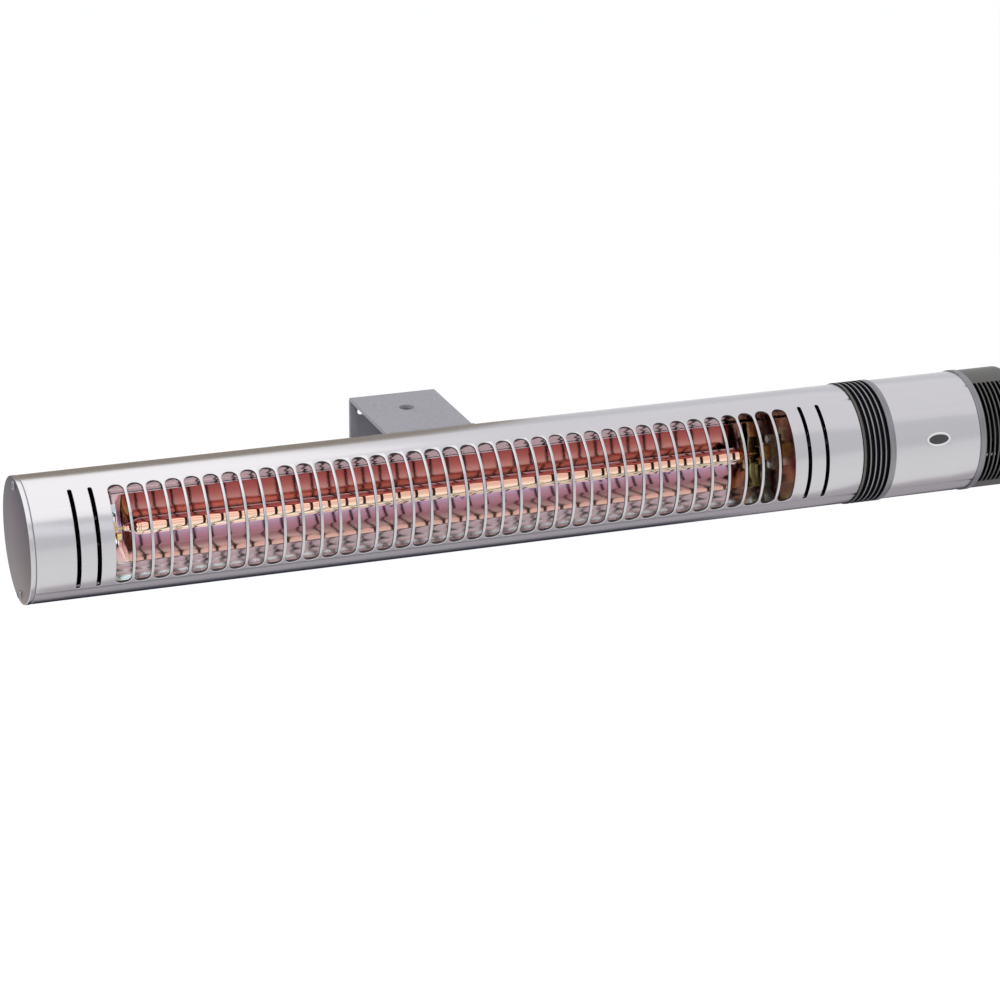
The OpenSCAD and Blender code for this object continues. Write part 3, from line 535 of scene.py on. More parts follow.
# %% One slot in its cell
def slot_outline(bm, x, width, low, high, side_steps=26, end_steps=12):
    first = bm.verts.new((x + width / 2, high, 0))
    half_turn = {"axis": (0, 0, 1), "angle": math.pi, "steps": end_steps}
    bmesh.ops.spin(bm, geom=[first], cent=(x, high, 0), **half_turn)
    bm.verts.ensure_lookup_table()
    down = bmesh.ops.extrude_vert_indiv(bm, verts=[bm.verts[-1]])
    bmesh.ops.translate(bm, verts=down["verts"], vec=(0, low - high, 0))
    bmesh.ops.spin(bm, geom=down["verts"], cent=(x, low, 0), **half_turn)
    bm.verts.ensure_lookup_table()
    right = bm.edges.new((bm.verts[-1], first))
    bmesh.ops.subdivide_edges(bm, edges=[down["edges"][0], right], cuts=side_steps - 1)


def slot_cell(x, width, cell, low, high):
    """A slot and its cell, in metres; low and high are the middles of the slot's round ends."""
    bm = bmesh.new()
    slot_outline(bm, x, width, low, high)
    border, _ = pull_edges(bm, bm.edges[:])
    for v in border:
        middle = min(max(v.co.y, low), high)
        reach = max(abs(v.co.x - x), abs(v.co.y - middle)) / (cell / 2)
        v.co = (x + (v.co.x - x) / reach, middle + (v.co.y - middle) / reach, 0)
    return bm


print("ready: slot_outline, slot_cell")

# %% [markdown]
# Rolling is a plain change of coordinates, in which the height above the middle becomes an angle. Before
# it, the ends are pulled out to the tube's ends and the panel's top and bottom borders step down a
# little, because the slotted panel stands proud of the back by a fraction of a millimetre.

# %% Roll a flat panel into a tube
PANEL_STEP = 0.14 * MM


def side_of(bm, x):
    return [e for e in bm.edges if e.is_boundary and all(abs(v.co.x - x) < 1e-6 for v in e.verts)]


def grow(bm, border, target, rows):
    """Extrudes the layout's top or bottom border to another height, row by row."""
    edges = [e for e in bm.edges if all(abs(v.co.y - border) < 1e-6 for v in e.verts)]
    for _ in range(rows):
        _, edges = pull_edges(bm, edges, (0, (target - border) / rows, 0))
    return edges


def roll_up(bm, radius, ends, step=PANEL_STEP):
    """ends: pairs of an open side's x and the x that it is extruded to; all in metres."""
    for x, target in ends:
        pull_edges(bm, side_of(bm, x), (target - x, 0, 0))
    top = max(v.co.y for v in bm.verts)
    bottom = min(v.co.y for v in bm.verts)
    for border, rise in ((bottom, -2 * step), (top, 2 * step)):
        edges = grow(bm, border, border + rise, 1)
        corners = once_each(v for e in edges for v in e.verts)
        bmesh.ops.translate(bm, verts=corners, vec=(0, 0, -step))
    for v in bm.verts:
        angle, reach = v.co.y / radius, radius + v.co.z
        v.co = (v.co.x, -reach * math.cos(angle), reach * math.sin(angle))
    back = 2 * math.pi - (top - bottom + 4 * step) / radius
    bmesh.ops.spin(bm, geom=edges + corners, cent=(0, 0, 0), axis=(-1, 0, 0), angle=back, steps=72)
    bmesh.ops.remove_doubles(bm, verts=bm.verts, dist=2e-6)
    face_outwards(bm)


print("ready: side_of, grow, roll_up, step", PANEL_STEP)

# %% [markdown]
# The tube's row has 38 tall slots at one pitch, with two thin slots at each end. Cells that touch share
# their border, and two cells with a gap between them are joined by bridging their sides.

# %% Make the grille tube
def slotted_tube(radius, slots, low, high, start, end, step=PANEL_STEP):
    """slots: (x, slot width, cell width) from left to right; low and high: slot ends as angles."""
    bm = bmesh.new()
    for x, width, cell in slots:
        join(bm, slot_cell(x, width, cell, low * radius + width / 2, high * radius - width / 2))
    bmesh.ops.remove_doubles(bm, verts=bm.verts, dist=1e-6)
    sides = [(x - cell / 2, x + cell / 2) for x, width, cell in slots]
    for (_, right), (left, _) in zip(sides, sides[1:]):
        if left > right + 1e-5:
            bmesh.ops.bridge_loops(bm, edges=side_of(bm, right) + side_of(bm, left))
    roll_up(bm, radius, [(sides[0][0], start), (sides[-1][1], end)], step)
    return bm


SLOT_COUNT, SLOT_PITCH, BAR = 38, 13.44 * MM, 2 * MM
SLOT_LOW, SLOT_HIGH = math.radians(-40), math.radians(59)
THIN_PLACES, THIN_SLOT, THIN_CELL = (266.0 * MM, 280.2 * MM), 3 * MM, 5 * MM
middle_slot = (SLOT_COUNT - 1) / 2
row = [((i - middle_slot) * SLOT_PITCH, SLOT_PITCH - BAR, SLOT_PITCH) for i in range(SLOT_COUNT)]
left_slots = [(-x, THIN_SLOT, THIN_CELL) for x in reversed(THIN_PLACES)]
right_slots = [(x, THIN_SLOT, THIN_CELL) for x in THIN_PLACES]
all_slots = left_slots + row + right_slots
bm = slotted_tube(TUBE_R * MM, all_slots, SLOT_LOW, SLOT_HIGH, -TUBE_END * MM, TUBE_END * MM)
grille_tube = sheet_piece(bm, "grille_tube", TUBE_WALL, width=0.22)
print("grille tube with", len(all_slots), "slots and", len(grille_tube.data.polygons), "faces")

# %% [markdown]
# ### What hides inside and behind the tube
# In the back are the two arc slots that the clamp's bolts slide in when the heater is tilted. Nothing shiny
# surrounds them, so a boolean cut with a swept bar will do. All faces that lie deeper than the tube's outer
# skin, its inside and the slots' walls, get a near-black finish, which is painted shade.

# %% Clamp slots and the tube's inside in painted shade
def arc_cutter(x, width, low, high, inner, outer):
    """Cuts an arc slot from inside out; angles count up over the top."""
    bm = bmesh.new()
    left, right = x - width / 2, x + width / 2
    section = [(left, -inner, 0), (right, -inner, 0), (right, -outer, 0), (left, -outer, 0)]
    sweep(bm, section, -low, low - high, 40)
    return link_mesh(bm, "arc_cutter")


# Painted shade: the second finish is near-black and stands in for the shade inside a tube and on its slots'
# walls.
def darken_inside(obj, skin, left_of=CAP_END):
    """Gives the second finish to faces nearer to the axis than the skin, and left of an x."""
    for face in obj.data.polygons:
        if math.hypot(face.center.y, face.center.z) < skin * MM and face.center.x < left_of * MM:
            face.material_index = 1


CLAMP_X, CLAMP_SLOT, CLAMP_LOW, CLAMP_HIGH = 18, 7.2, math.radians(149.9), math.radians(236.1)
cut_away(grille_tube, [arc_cutter(x, CLAMP_SLOT, CLAMP_LOW, CLAMP_HIGH, 40, 48) for x in (-CLAMP_X, CLAMP_X)])
# Painted shade on the tube's inside and on the slots' walls.
darken_inside(grille_tube, TUBE_R - 0.5)
tube_finishes = ["satin_aluminium", "painted_shade_inside"]
finish_piece(grille_tube, "satin_aluminium", node="heater_tube", finishes=tube_finishes)

# %% [markdown]
# Two screw ports run the tube's whole length, top and bottom, because an extrusion gets them for free. They
# are thick-walled pipes, which the screws of both end caps cut their threads into.

# %% Screw ports
PORT_AT, PORT_BORE, PORT_R = 39.4, 2.05, 4.5
for side, where in ((-1, "bottom"), (1, "top")):
    bm = band(-TUBE_END, TUBE_END, PORT_BORE, PORT_R, steps=32)
    bm.transform(shift(z=side * PORT_AT))
    soften(bm, 0.2)
    finish_piece(link_mesh(bm, "screw_port_" + where), "satin_aluminium")

# %% [markdown]
# ## Finned ring, control housing, collar and vented cap
# The finned ring keeps the lamp's heat from the electronics. Its grooves are painted black, which is
# painted shade in their depth, while the rims of its fins are bare metal that catches the light, so the ring
# has several finishes and each face takes one by its distance from the axis. The left flange is the darker
# grey of the vented cap.

# %% Finned ring
GROOVE_R, GROOVE, FIN_PITCH, FLANGE = 42.0, 3, 4.1, 2.0
grooves = [TUBE_END + FLANGE + i * FIN_PITCH for i in range(5)]
outline = [(TUBE_END, BORE_R), (TUBE_END, RING_R), (TUBE_END + FLANGE, RING_R)]
for left in grooves:
    outline += [(left, GROOVE_R), (left + GROOVE, GROOVE_R), (left + GROOVE, RING_R)]
    if left < grooves[-1]:
        outline.append((left + FIN_PITCH, RING_R))
bm = turned(outline + [(RING_END, RING_R), (RING_END, BORE_R)])
soften(bm, 0.18)
# Painted shade: faces below the fins' rims, in the grooves, take the near-black ring_dark.
for face in bm.faces:
    middle = face.calc_center_median()
    if math.hypot(middle.y, middle.z) < (RING_R - 0.12) * MM:
        face.material_index = 1
    elif middle.x < (TUBE_END + FLANGE - 0.1) * MM:
        face.material_index = 2
ring_finishes = ["turned_grey", "ring_dark", "vent_grey"]
finish_piece(link_mesh(bm, "cooling_ring"), "ring_dark", node="fin_ring", finishes=ring_finishes)

# %% [markdown]
# The control housing is a plain tube with one oval hole for the remote control's receiver. The hole gets a
# cell of its own, as the slots did, but lies on its side, so x and y change places while it is made.

# %% Control housing
def lying_cell(x, height, length, width, cell):
    bm = slot_cell(height, width, cell, x - (length - width) / 2, x + (length - width) / 2)
    bm.transform(Matrix(((0, 1, 0, 0), (1, 0, 0, 0), (0, 0, 1, 0), (0, 0, 0, 1))))
    return bm


EYE_X, EYE_ANGLE = 370.9 * MM, math.radians(9.5)
EYE_LENGTH, EYE_WIDTH, EYE_CELL, PANEL_EDGE = 16 * MM, 7 * MM, 12 * MM, 1 * MM
eye_height = EYE_ANGLE * TUBE_R * MM
eye_reach = (EYE_LENGTH - EYE_WIDTH + EYE_CELL) / 2
bm = bmesh.new()
join(bm, lying_cell(EYE_X, eye_height, EYE_LENGTH, EYE_WIDTH, EYE_CELL))
grow(bm, eye_height - EYE_CELL / 2, SLOT_LOW * TUBE_R * MM - PANEL_EDGE, rows=18)
grow(bm, eye_height + EYE_CELL / 2, SLOT_HIGH * TUBE_R * MM + PANEL_EDGE, rows=18)
roll_up(bm, TUBE_R * MM, [(EYE_X - eye_reach, RING_END * MM), (EYE_X + eye_reach, HOUSING_END * MM)])
housing = sheet_piece(bm, "housing_tube", TUBE_WALL, width=0.3, segments=3)
finish_piece(housing, "satin_aluminium", node="control_housing")

# %% [markdown]
# The receiver's bezel and lens are modelled flat, where an inset is easy, and then bent onto the tube.
# The bezel is an oval ring with soft edges. The lens is inset in three small steps, each a little
# higher, which gives it a shallow dome.

# %% Receiver window
def oval_outline(bm, width, height):
    first = bm.verts.new((height / 2 * MM, 0, 0))
    turn = 2 * math.pi
    bmesh.ops.spin(bm, geom=[first], cent=(0, 0, 0), axis=(0, 0, 1), angle=turn, steps=64, use_merge=True)
    bmesh.ops.remove_doubles(bm, verts=bm.verts, dist=1e-6)
    bmesh.ops.scale(bm, verts=bm.verts, vec=(width / height, 1, 1))


def bend_onto_tube(bm):
    for v in bm.verts:
        turn = EYE_ANGLE + v.co.y / (TUBE_R * MM)
        reach = TUBE_R * MM + v.co.z
        v.co = (EYE_X + v.co.x, -reach * math.cos(turn), reach * math.sin(turn))


BEZEL, BEZEL_HOLE, BEZEL_HEIGHT, LENS = (19.5, 10.4), (16.2, 7.1), 0.8, (15.9, 6.8)
bm = bmesh.new()
oval_outline(bm, *BEZEL)
hole, _ = pull_edges(bm, bm.edges[:])
bmesh.ops.scale(bm, verts=hole, vec=(BEZEL_HOLE[0] / BEZEL[0], BEZEL_HOLE[1] / BEZEL[1], 1))
face_outwards(bm)
top = bmesh.ops.extrude_face_region(bm, geom=bm.faces[:])["geom"]
top_corners = [g for g in top if isinstance(g, bmesh.types.BMVert)]
bmesh.ops.translate(bm, verts=top_corners, vec=(0, 0, BEZEL_HEIGHT * MM))
face_outwards(bm)
soften(bm, 0.3, segments=3)
bend_onto_tube(bm)
finish_piece(link_mesh(bm, "receiver_rim"), "bezel_white", node="receiver_bezel")

bm = bmesh.new()
oval_outline(bm, *LENS)
glass = bmesh.ops.contextual_create(bm, geom=bm.edges[:])["faces"]
for inset, rise in ((0.25, 0.18), (0.5, 0.08), (0.8, 0.04)):
    bmesh.ops.inset_region(bm, faces=glass, thickness=inset * MM, depth=0)
    bmesh.ops.translate(bm, verts=once_each(v for f in glass for v in f.verts), vec=(0, 0, rise * MM))
bend_onto_tube(bm)
finish_piece(link_mesh(bm, "receiver_window"), "ir_window", node="receiver_lens", sharp=60)

# %% [markdown]
# A narrow collar closes the housing on the right. It is a turned ring with rounder edges than the
# rest, and stands out over the tube by half a millimetre.

# %% Collar
bm = band(HOUSING_END, COLLAR_END, BORE_R, RING_R)
soften(bm, 0.35, segments=3)
collar = link_mesh(bm, "collar_ring")
finish_piece(collar, "cap_grey", node="housing_collar", finishes=["turned_grey"])

# %% [markdown]
# The vented cap uses the same slotted front as the tube, with narrow slots. Its right end is rounded over
# by extruding the last ring of edges along a quarter circle, and then closed as far as the gland.

# %% Vented cap
def close_end(bm, x, radius, rounding, hole, steps=6):
    angles = [math.pi / 2 * i / steps for i in range(1, steps + 1)]
    turns = [(radius - rounding + rounding * math.cos(a), x + rounding * math.sin(a)) for a in angles]
    rim = side_of(bm, x)
    for reach, place in turns + [(hole, x + rounding)]:
        corners, rim = pull_edges(bm, rim)
        for v in corners:
            shrink = reach / math.hypot(v.co.y, v.co.z)
            v.co = (place, v.co.y * shrink, v.co.z * shrink)


CAP_ROUND, CAP_WALL, GLAND_HOLE_R = 1.5, 2.2, 8.1
CAP_LOW, CAP_HIGH = math.radians(-48), math.radians(64)
round_from = (CAP_END - CAP_ROUND) * MM
FIRST_SLOT, CAP_PITCH, CAP_SLOT, CAP_CELL = 412.4, 3.7, 2.6 * MM, 3.6 * MM
cap_slots = [((FIRST_SLOT + CAP_PITCH * i) * MM, CAP_SLOT, CAP_CELL) for i in range(8)]
bm = slotted_tube(TUBE_R * MM, cap_slots, CAP_LOW, CAP_HIGH, COLLAR_END * MM, round_from, step=0)
close_end(bm, round_from, TUBE_R * MM, CAP_ROUND * MM, GLAND_HOLE_R * MM)
face_outwards(bm)
vented = sheet_piece(bm, "vented_cap", CAP_WALL, width=0.18)
# Painted shade: the cap's inside and its slots' walls take the near-black ring_dark.
darken_inside(vented, TUBE_R - 0.3, left_of=CAP_END - CAP_ROUND)
finish_piece(vented, "ring_dark", node="vented_end_cap", finishes=["vent_grey", "ring_dark"])

# %% [markdown]
# ## Left end
# A flat cap closes the left end over a thin grey gasket, which shows only as a line. The cap's face is
# dark, while its rim is bare aluminium as the tube, so faces that look sideways get the second finish.

# %% Left cap and gasket
LEFT_JOINT, LEFT_FACE, GASKET_IN, GASKET_OUT = -310.0, -313.5, 43, 44.8
bm = turned([(LEFT_JOINT, 0), (LEFT_JOINT, TUBE_R), (LEFT_FACE, TUBE_R), (LEFT_FACE, 0)], closed=False)
soften(bm, 0.6, segments=4)
for face in bm.faces:
    if abs(face.normal.x) < 0.95:
        face.material_index = 1
cap_finishes = ["cap_grey", "satin_aluminium"]
finish_piece(link_mesh(bm, "left_cap"), "cap_grey", node="left_end_cap", finishes=cap_finishes)
gasket = link_mesh(band(LEFT_JOINT, -TUBE_END, GASKET_IN, GASKET_OUT), "left_gasket")
finish_piece(gasket, "black_rubber", node="left_cap_gasket", finishes=["gasket_grey"])

# %% [markdown]
# Two low domed screws hold the left cap, and two long ones tie the right end's pieces to the tube. A dome
# is a small part of a sphere, whose radius follows from the head's width and height. The cross recess is
# a boolean cut, which is fine on a head this small.

# %% Domed screws with a cross recess
def cross_cutter(size, width, depth):
    bm = bmesh.new()
    for long_side, short_side in ((size, width), (width, size)):
        block = bmesh.ops.create_cube(bm, size=MM)["verts"]
        bmesh.ops.scale(bm, verts=block, vec=(depth, long_side, short_side))
    return link_mesh(bm, "cross_cutter")


def domed_screw(name, length, head_r=3.6, head_h=2.2, shank_r=2.0):
    """Head points along -X from its seat at x = 0, the shank along +X."""
    sphere_r = (head_r**2 + head_h**2) / (2 * head_h)
    tips = [math.asin(head_r / sphere_r) * i / 8 for i in range(9)]
    dome = [(sphere_r * (1 - math.cos(a)) - head_h, sphere_r * math.sin(a)) for a in tips]
    shank = [(0, shank_r), (length, shank_r), (length, 0)]
    screw = link_mesh(turned(dome + shank, steps=48, closed=False), name)
    cutter = cross_cutter(head_r * 1.1, head_r * 0.26, head_h * 1.2)
    cutter.data.transform(shift(-head_h))
    cut_away(screw, [cutter], crossed=True)
    return screw


SHORT_SCREW, LONG_SCREW = 20, 151
for side, where in ((1, "top"), (-1, "bottom")):
    screw = domed_screw("left_screw_" + where, SHORT_SCREW)
    screw.data.transform(shift(LEFT_FACE, 0, side * PORT_AT) @ Matrix.Rotation(0.5, 4, "X"))
    finish_piece(screw, "zinc", node="left_cap_screws", finishes=["turned_grey"])
    screw = domed_screw("tie_screw_" + where, LONG_SCREW)
    screw.data.transform(shift(CAP_END, 0, side * PORT_AT) @ Matrix.Rotation(math.pi, 4, "Z"))
    finish_piece(screw, "zinc", node="tie_screws")

# %% [markdown]
# ## Trough and lamp
# The trough is a parabola with the lamp at its focus, so light from the lamp leaves straight to the
# front. Its lips run on straight to the tube's wall. The outline is drawn once, extruded along the tube
# and given the sheet's thickness on its back, which is why its faces must look to the front.

# %% Trough
def bent_sheet(outline, end):
    """Extrudes an open outline of (y, z) points along X, from -end to end, in millimetres."""
    bm = bmesh.new()
    points = [bm.verts.new((-end * MM, y * MM, z * MM)) for y, z in outline]
    edges = [bm.edges.new(pair) for pair in zip(points, points[1:])]
    pull_edges(bm, edges, (2 * end * MM, 0, 0))
    return bm


FOCUS, TROUGH_HALF, TROUGH_END, LIP_R, LIP_ANGLE = 11.0, 24.4, 257, 42.3, math.radians(50.5)
half = [(FOCUS - h * h / (4 * FOCUS), h) for h in (TROUGH_HALF * i / 32 for i in range(33))]
edge_y, edge_h = half[-1]
lip_y, lip_h = -LIP_R * math.cos(LIP_ANGLE), LIP_R * math.sin(LIP_ANGLE)
half += [(edge_y + (lip_y - edge_y) * i / 6, edge_h + (lip_h - edge_h) * i / 6) for i in range(1, 7)]
bm = bent_sheet([(y, -h) for y, h in reversed(half)] + half[1:], TROUGH_END)
face_outwards(bm)
if sum(f.normal.y for f in bm.faces) > 0:
    bmesh.ops.reverse_faces(bm, faces=bm.faces)
trough = sheet_piece(bm, "polished_trough", 0.8)
finish_piece(trough, "polished", place=FACING_GRILLE, node="reflector", sharp=40)

# %% [markdown]
# The lamp's quartz tube is pinched at both ends, where the leads come out. The pinch is a smooth curve,
# because the glass is pressed while it is soft. Pairs of moulded dimples along the tube hold the
# filament's supports, and the thin ring round each is a small torus sunk into the glass.

# %% Lamp
LAMP_R, PINCH_R, PINCH_FROM, PINCH_LENGTH = 6.0, 2.2, 226, 12
DIMPLE_R, DIMPLE_RIM, DIMPLE_OUT, DIMPLE_LEAN, DIMPLE_PITCH = 1.9, 0.55, 5.9, 125, 54
pinch = [
    (PINCH_FROM + PINCH_LENGTH * t, PINCH_R + (LAMP_R - PINCH_R) * (0.5 + 0.5 * math.cos(math.pi * t)))
    for t in (i / 10 for i in range(11))
]
outline = [(-x, r) for x, r in reversed(pinch)] + pinch
bm = turned([(outline[0][0], 0)] + outline + [(outline[-1][0], 0)], steps=64, closed=False)
turns = [math.pi * i / 6 for i in range(12)]
rim_outline = [(DIMPLE_RIM * math.cos(a), DIMPLE_R + DIMPLE_RIM * math.sin(a)) for a in turns]
for x in range(-200, 200, DIMPLE_PITCH):
    for lean in (-DIMPLE_LEAN, DIMPLE_LEAN):
        rim = turned(rim_outline, steps=24)
        outwards = Matrix.Rotation(math.radians(lean), 4, "X")
        rim.transform(outwards @ shift(x, 0, DIMPLE_OUT) @ Matrix.Rotation(math.pi / 2, 4, "Y"))
        join(bm, rim)
finish_piece(link_mesh(bm, "ruby_lamp"), "ruby_quartz", place=FACING_GRILLE, node="lamp_envelope")

# %% [markdown]
# At each end of the lamp sits a gilt terminal block with a post, a pin into the pinch and a curled spring
# strip, which shows as a small hook. The left one is the right one's mirror image, and turning it
# would put the hook on the wrong side, so its mesh is mirrored.

# %% Gilt terminals with their curled spring
def rod(bm, radius, length, place, segments=128):
    """A bar about Z, in millimetres, that is then put into place by a matrix in metres."""
    size = {"radius1": radius * MM, "radius2": radius * MM, "depth": length * MM}
    return bmesh.ops.create_cone(bm, cap_ends=True, segments=segments, matrix=place, **size)["verts"]


def along_x(x):
    return shift(x) @ Matrix.Rotation(math.pi / 2, 4, "Y")


BLOCK_SIZE, BLOCK_X, BLOCK_TOP = (9, 9, 10), 248.5, 5
POST_R, POST_HEIGHT, PIN_R, PIN_LENGTH = 1.6, 2.5, 0.8, 7
SPRING_CENTRE, SPRING_SECTION = (0, -3.5, -5), ((241.5, 2), (244.5, 2), (244.5, 3), (241.5, 3))
for side, where in ((-1, "left"), (1, "right")):
    bm = bmesh.new()
    block = bmesh.ops.create_cube(bm, size=MM)["verts"]
    bmesh.ops.scale(bm, verts=block, vec=BLOCK_SIZE)
    bmesh.ops.translate(bm, verts=block, vec=(BLOCK_X * MM, 0, 0))
    bevel_edges(bm, once_each(e for v in block for e in v.link_edges), 0.5)
    rod(bm, POST_R, POST_HEIGHT, shift(BLOCK_X, 0, BLOCK_TOP + POST_HEIGHT / 2), segments=32)
    rod(bm, PIN_R, PIN_LENGTH, along_x(241), segments=24)
    section = [(x, SPRING_CENTRE[1], r + SPRING_CENTRE[2]) for x, r in SPRING_SECTION]
    sweep(bm, section, 0, math.radians(270), 24, SPRING_CENTRE)
    if side < 0:
        bmesh.ops.mirror(bm, geom=bm.verts[:] + bm.edges[:] + bm.faces[:], axis="X", merge_dist=0)
    terminal = link_mesh(bm, "gilt_terminal_" + where)
    finish_piece(terminal, "gilt_brass", place=FACING_GRILLE, node="lamp_terminals")

# %% [markdown]
# ## Wall bracket
# The bracket is one strip of steel bent into a U: a web against the wall, and two flanges that reach out
# to the tube. The outline runs along the outside of the sheet, with each bend bevelled from an edge.
# Boolean cuts are clean here, because the faces they meet are flat.

# %% Channel with its holes
def round_cutter(radius, length, place):
    bm = bmesh.new()
    rod(bm, radius, length, place)
    return link_mesh(bm, "round_cutter")


FOLD, SHEET, CHANNEL_OUT, CHANNEL_HALF, CHANNEL_END, MOUTH_R = 4, 3, -100, 33.5, 33, 49.8
TOP_HOLE_R, WALL_HOLE_R = 5.75, 3.25
upper = [(CHANNEL_OUT, CHANNEL_HALF), (0, CHANNEL_HALF)]
bm = bent_sheet(upper + [(y, -z) for y, z in reversed(upper)], CHANNEL_END)
folds = [e for e in bm.edges if len(e.link_faces) == 2]
bevel_edges(bm, folds, FOLD, segments=10)
face_outwards(bm)
channel = sheet_piece(bm, "bracket_channel", SHEET, even=True)
lying = Matrix.Rotation(math.pi / 2, 4, "X")
mouth = round_cutter(MOUTH_R, 90, AT_AXIS @ along_x(0))
top_hole = round_cutter(TOP_HOLE_R, 12, shift(0, -37.5, 32))
wall_holes = [round_cutter(WALL_HOLE_R, 12, shift(x, 0, z) @ lying) for x in (-24, 24) for z in (-22, 22)]
cut_away(channel, [mouth, top_hole, *wall_holes])
soften_rims(channel, 0.35, sharper_than=40)
settle(channel)
finish_piece(channel, "bracket_grey", body="bracket", place=STRAIGHT, node="wall_bracket", sharp=30)

# %% [markdown]
# A curved saddle closes the channel's mouth, with a rubber liner on its inside. Two bolts come through it
# into a curved clamp shoe inside the tube. Slackened, they let the heater turn in the saddle. All three
# are bent plates with two holes, so one function makes them.

# %% Saddle, liner and shoe
def bent_plate(name, inner, outer, half_angle, half_width, hole_r):
    bm = bmesh.new()
    section = ((-half_width, inner), (half_width, inner), (half_width, outer), (-half_width, outer))
    sweep(bm, [(x, r, 0) for x, r in section], -half_angle, 2 * half_angle, 48)
    soften(bm, 0.3)
    plate = link_mesh(bm, name)
    holes = [shift(x, (inner + outer) / 2) @ lying for x in (-CLAMP_X, CLAMP_X)]
    cut_away(plate, [round_cutter(hole_r, 20, hole) for hole in holes])
    return plate


SADDLE_HALF, SHOE_HALF = math.asin((CHANNEL_HALF + 2.5) / MOUTH_R), math.radians(12)
plates = {
    "curved_saddle": (46.8, MOUTH_R, SADDLE_HALF, 33, 3.25, "bracket_grey", "bracket_saddle"),
    "rubber_liner": (45.3, 46.8, SADDLE_HALF, 33, 3.25, "black_rubber", "saddle_liner"),
    "inner_clamp_shoe": (38.2, 43.2, SHOE_HALF, 30, 3.05, "satin_aluminium", "clamp_shoe"),
}
for name, (inner, outer, half_angle, half_width, hole_r, slot, node) in plates.items():
    plate = bent_plate(name, inner, outer, half_angle, half_width, hole_r)
    finish_piece(plate, slot, body="bracket", place=AT_AXIS, node=node, sharp=30)

# %% [markdown]
# Bolts and washers are turned, and the bolts' heads are hexagonal bars with bevelled rims. They are
# modelled along X and then point backwards, out of the tube, at both clamp slots.

# %% Clamp bolts and washers
def hexagon(bm, across_flats, low, high, bevel):
    """A hexagonal bar about X, from low to high, with its rims bevelled."""
    bar = rod(bm, across_flats / math.sqrt(3), high - low, along_x((low + high) / 2), segments=6)
    bevel_edges(bm, once_each(e for v in bar for e in v.link_edges), bevel)


BOLT_R, BOLT_TIP, HEAD_SEAT, HEAD_TOP, WASHER_BORE, WASHER_R = 3.0, 36.7, 51.4, 55.4, 3.15, 5.5
for side, where in ((-1, "left"), (1, "right")):
    backwards = AT_AXIS @ shift(side * CLAMP_X) @ Matrix.Rotation(math.pi / 2, 4, "Z")
    tip = [(BOLT_TIP, 0), (BOLT_TIP, 2.4), (37.3, BOLT_R)]
    bm = turned(tip + [(HEAD_SEAT, BOLT_R), (HEAD_SEAT, 0)], steps=48, closed=False)
    hexagon(bm, 10, HEAD_SEAT, HEAD_TOP, 0.45)
    bolt = link_mesh(bm, "clamp_bolt_" + where)
    finish_piece(bolt, "zinc", body="bracket", place=backwards, node="clamp_bolts")
    bm = band(MOUTH_R, HEAD_SEAT, WASHER_BORE, WASHER_R, steps=64)
    soften(bm, 0.2)
    washer = link_mesh(bm, "clamp_washer_" + where)
    finish_piece(washer, "zinc", body="bracket", place=backwards, node="clamp_washers")

# %% [markdown]
# ## Cable gland
# The gland sits in the middle of the vented cap's end: a hexagonal flange, a domed nut and a rubber seal
# that grips the cord. The photograph shows no cord, so there is none here. The nut's hexagon is bored by a
# boolean cut, and its dome is turned with the bore in its outline and joined afterwards, because a
# boolean cut through two shapes that overlap isn't reliable.

# %% Gland
GLAND_ACROSS, FLANGE_END, NUT_END, CORD_R, SEAL_R = 22, 449.5, 455.5, 5.0, 6.9
DOME_R, DOME_FOOT, FOOT_R = 14.42, 455.3, 10.2
bm = bmesh.new()
hexagon(bm, GLAND_ACROSS, CAP_END, FLANGE_END, 0.6)
flange = link_mesh(bm, "gland_flange")
cut_away(flange, [round_cutter(CORD_R, 20, along_x(447))])
finish_piece(flange, "black_plastic", node="gland_body")

bm = bmesh.new()
hexagon(bm, GLAND_ACROSS, FLANGE_END, NUT_END, 0.6)
nut = link_mesh(bm, "gland_nut")
cut_away(nut, [round_cutter(SEAL_R, 20, along_x(452))])
angles = [math.radians(45.5 + i * 1.8) for i in range(7)]
dome = [(FLANGE_END + 10.19, FOOT_R)]
dome += [(FLANGE_END + DOME_R * math.sin(a), DOME_R * math.cos(a)) for a in angles]
bore = [(461.5, 7.4), (461.0, CORD_R), (459.1, CORD_R), (459.1, SEAL_R)]
bm = turned([(DOME_FOOT, SEAL_R), (DOME_FOOT, FOOT_R), *dome, *bore], steps=96)
bm.from_mesh(nut.data)
bm.to_mesh(nut.data)
bm.free()
finish_piece(nut, "black_plastic", node="gland_dome_nut")
bm = band(447, 456, 4.0, 6.8, steps=64)
soften(bm, 0.4)
finish_piece(link_mesh(bm, "gland_seal_ring"), "black_rubber", node="gland_seal")

# %% [markdown]
# ## Studio
# A pale floor runs far out under the heater, so it fills the whole picture. To the camera and to mirrors a
# white paper floor is simply white, so they see four fifths of glow there. The last fifth is the lit
# floor, which still takes the heater's soft shadow, and all other light meets the lit floor alone.

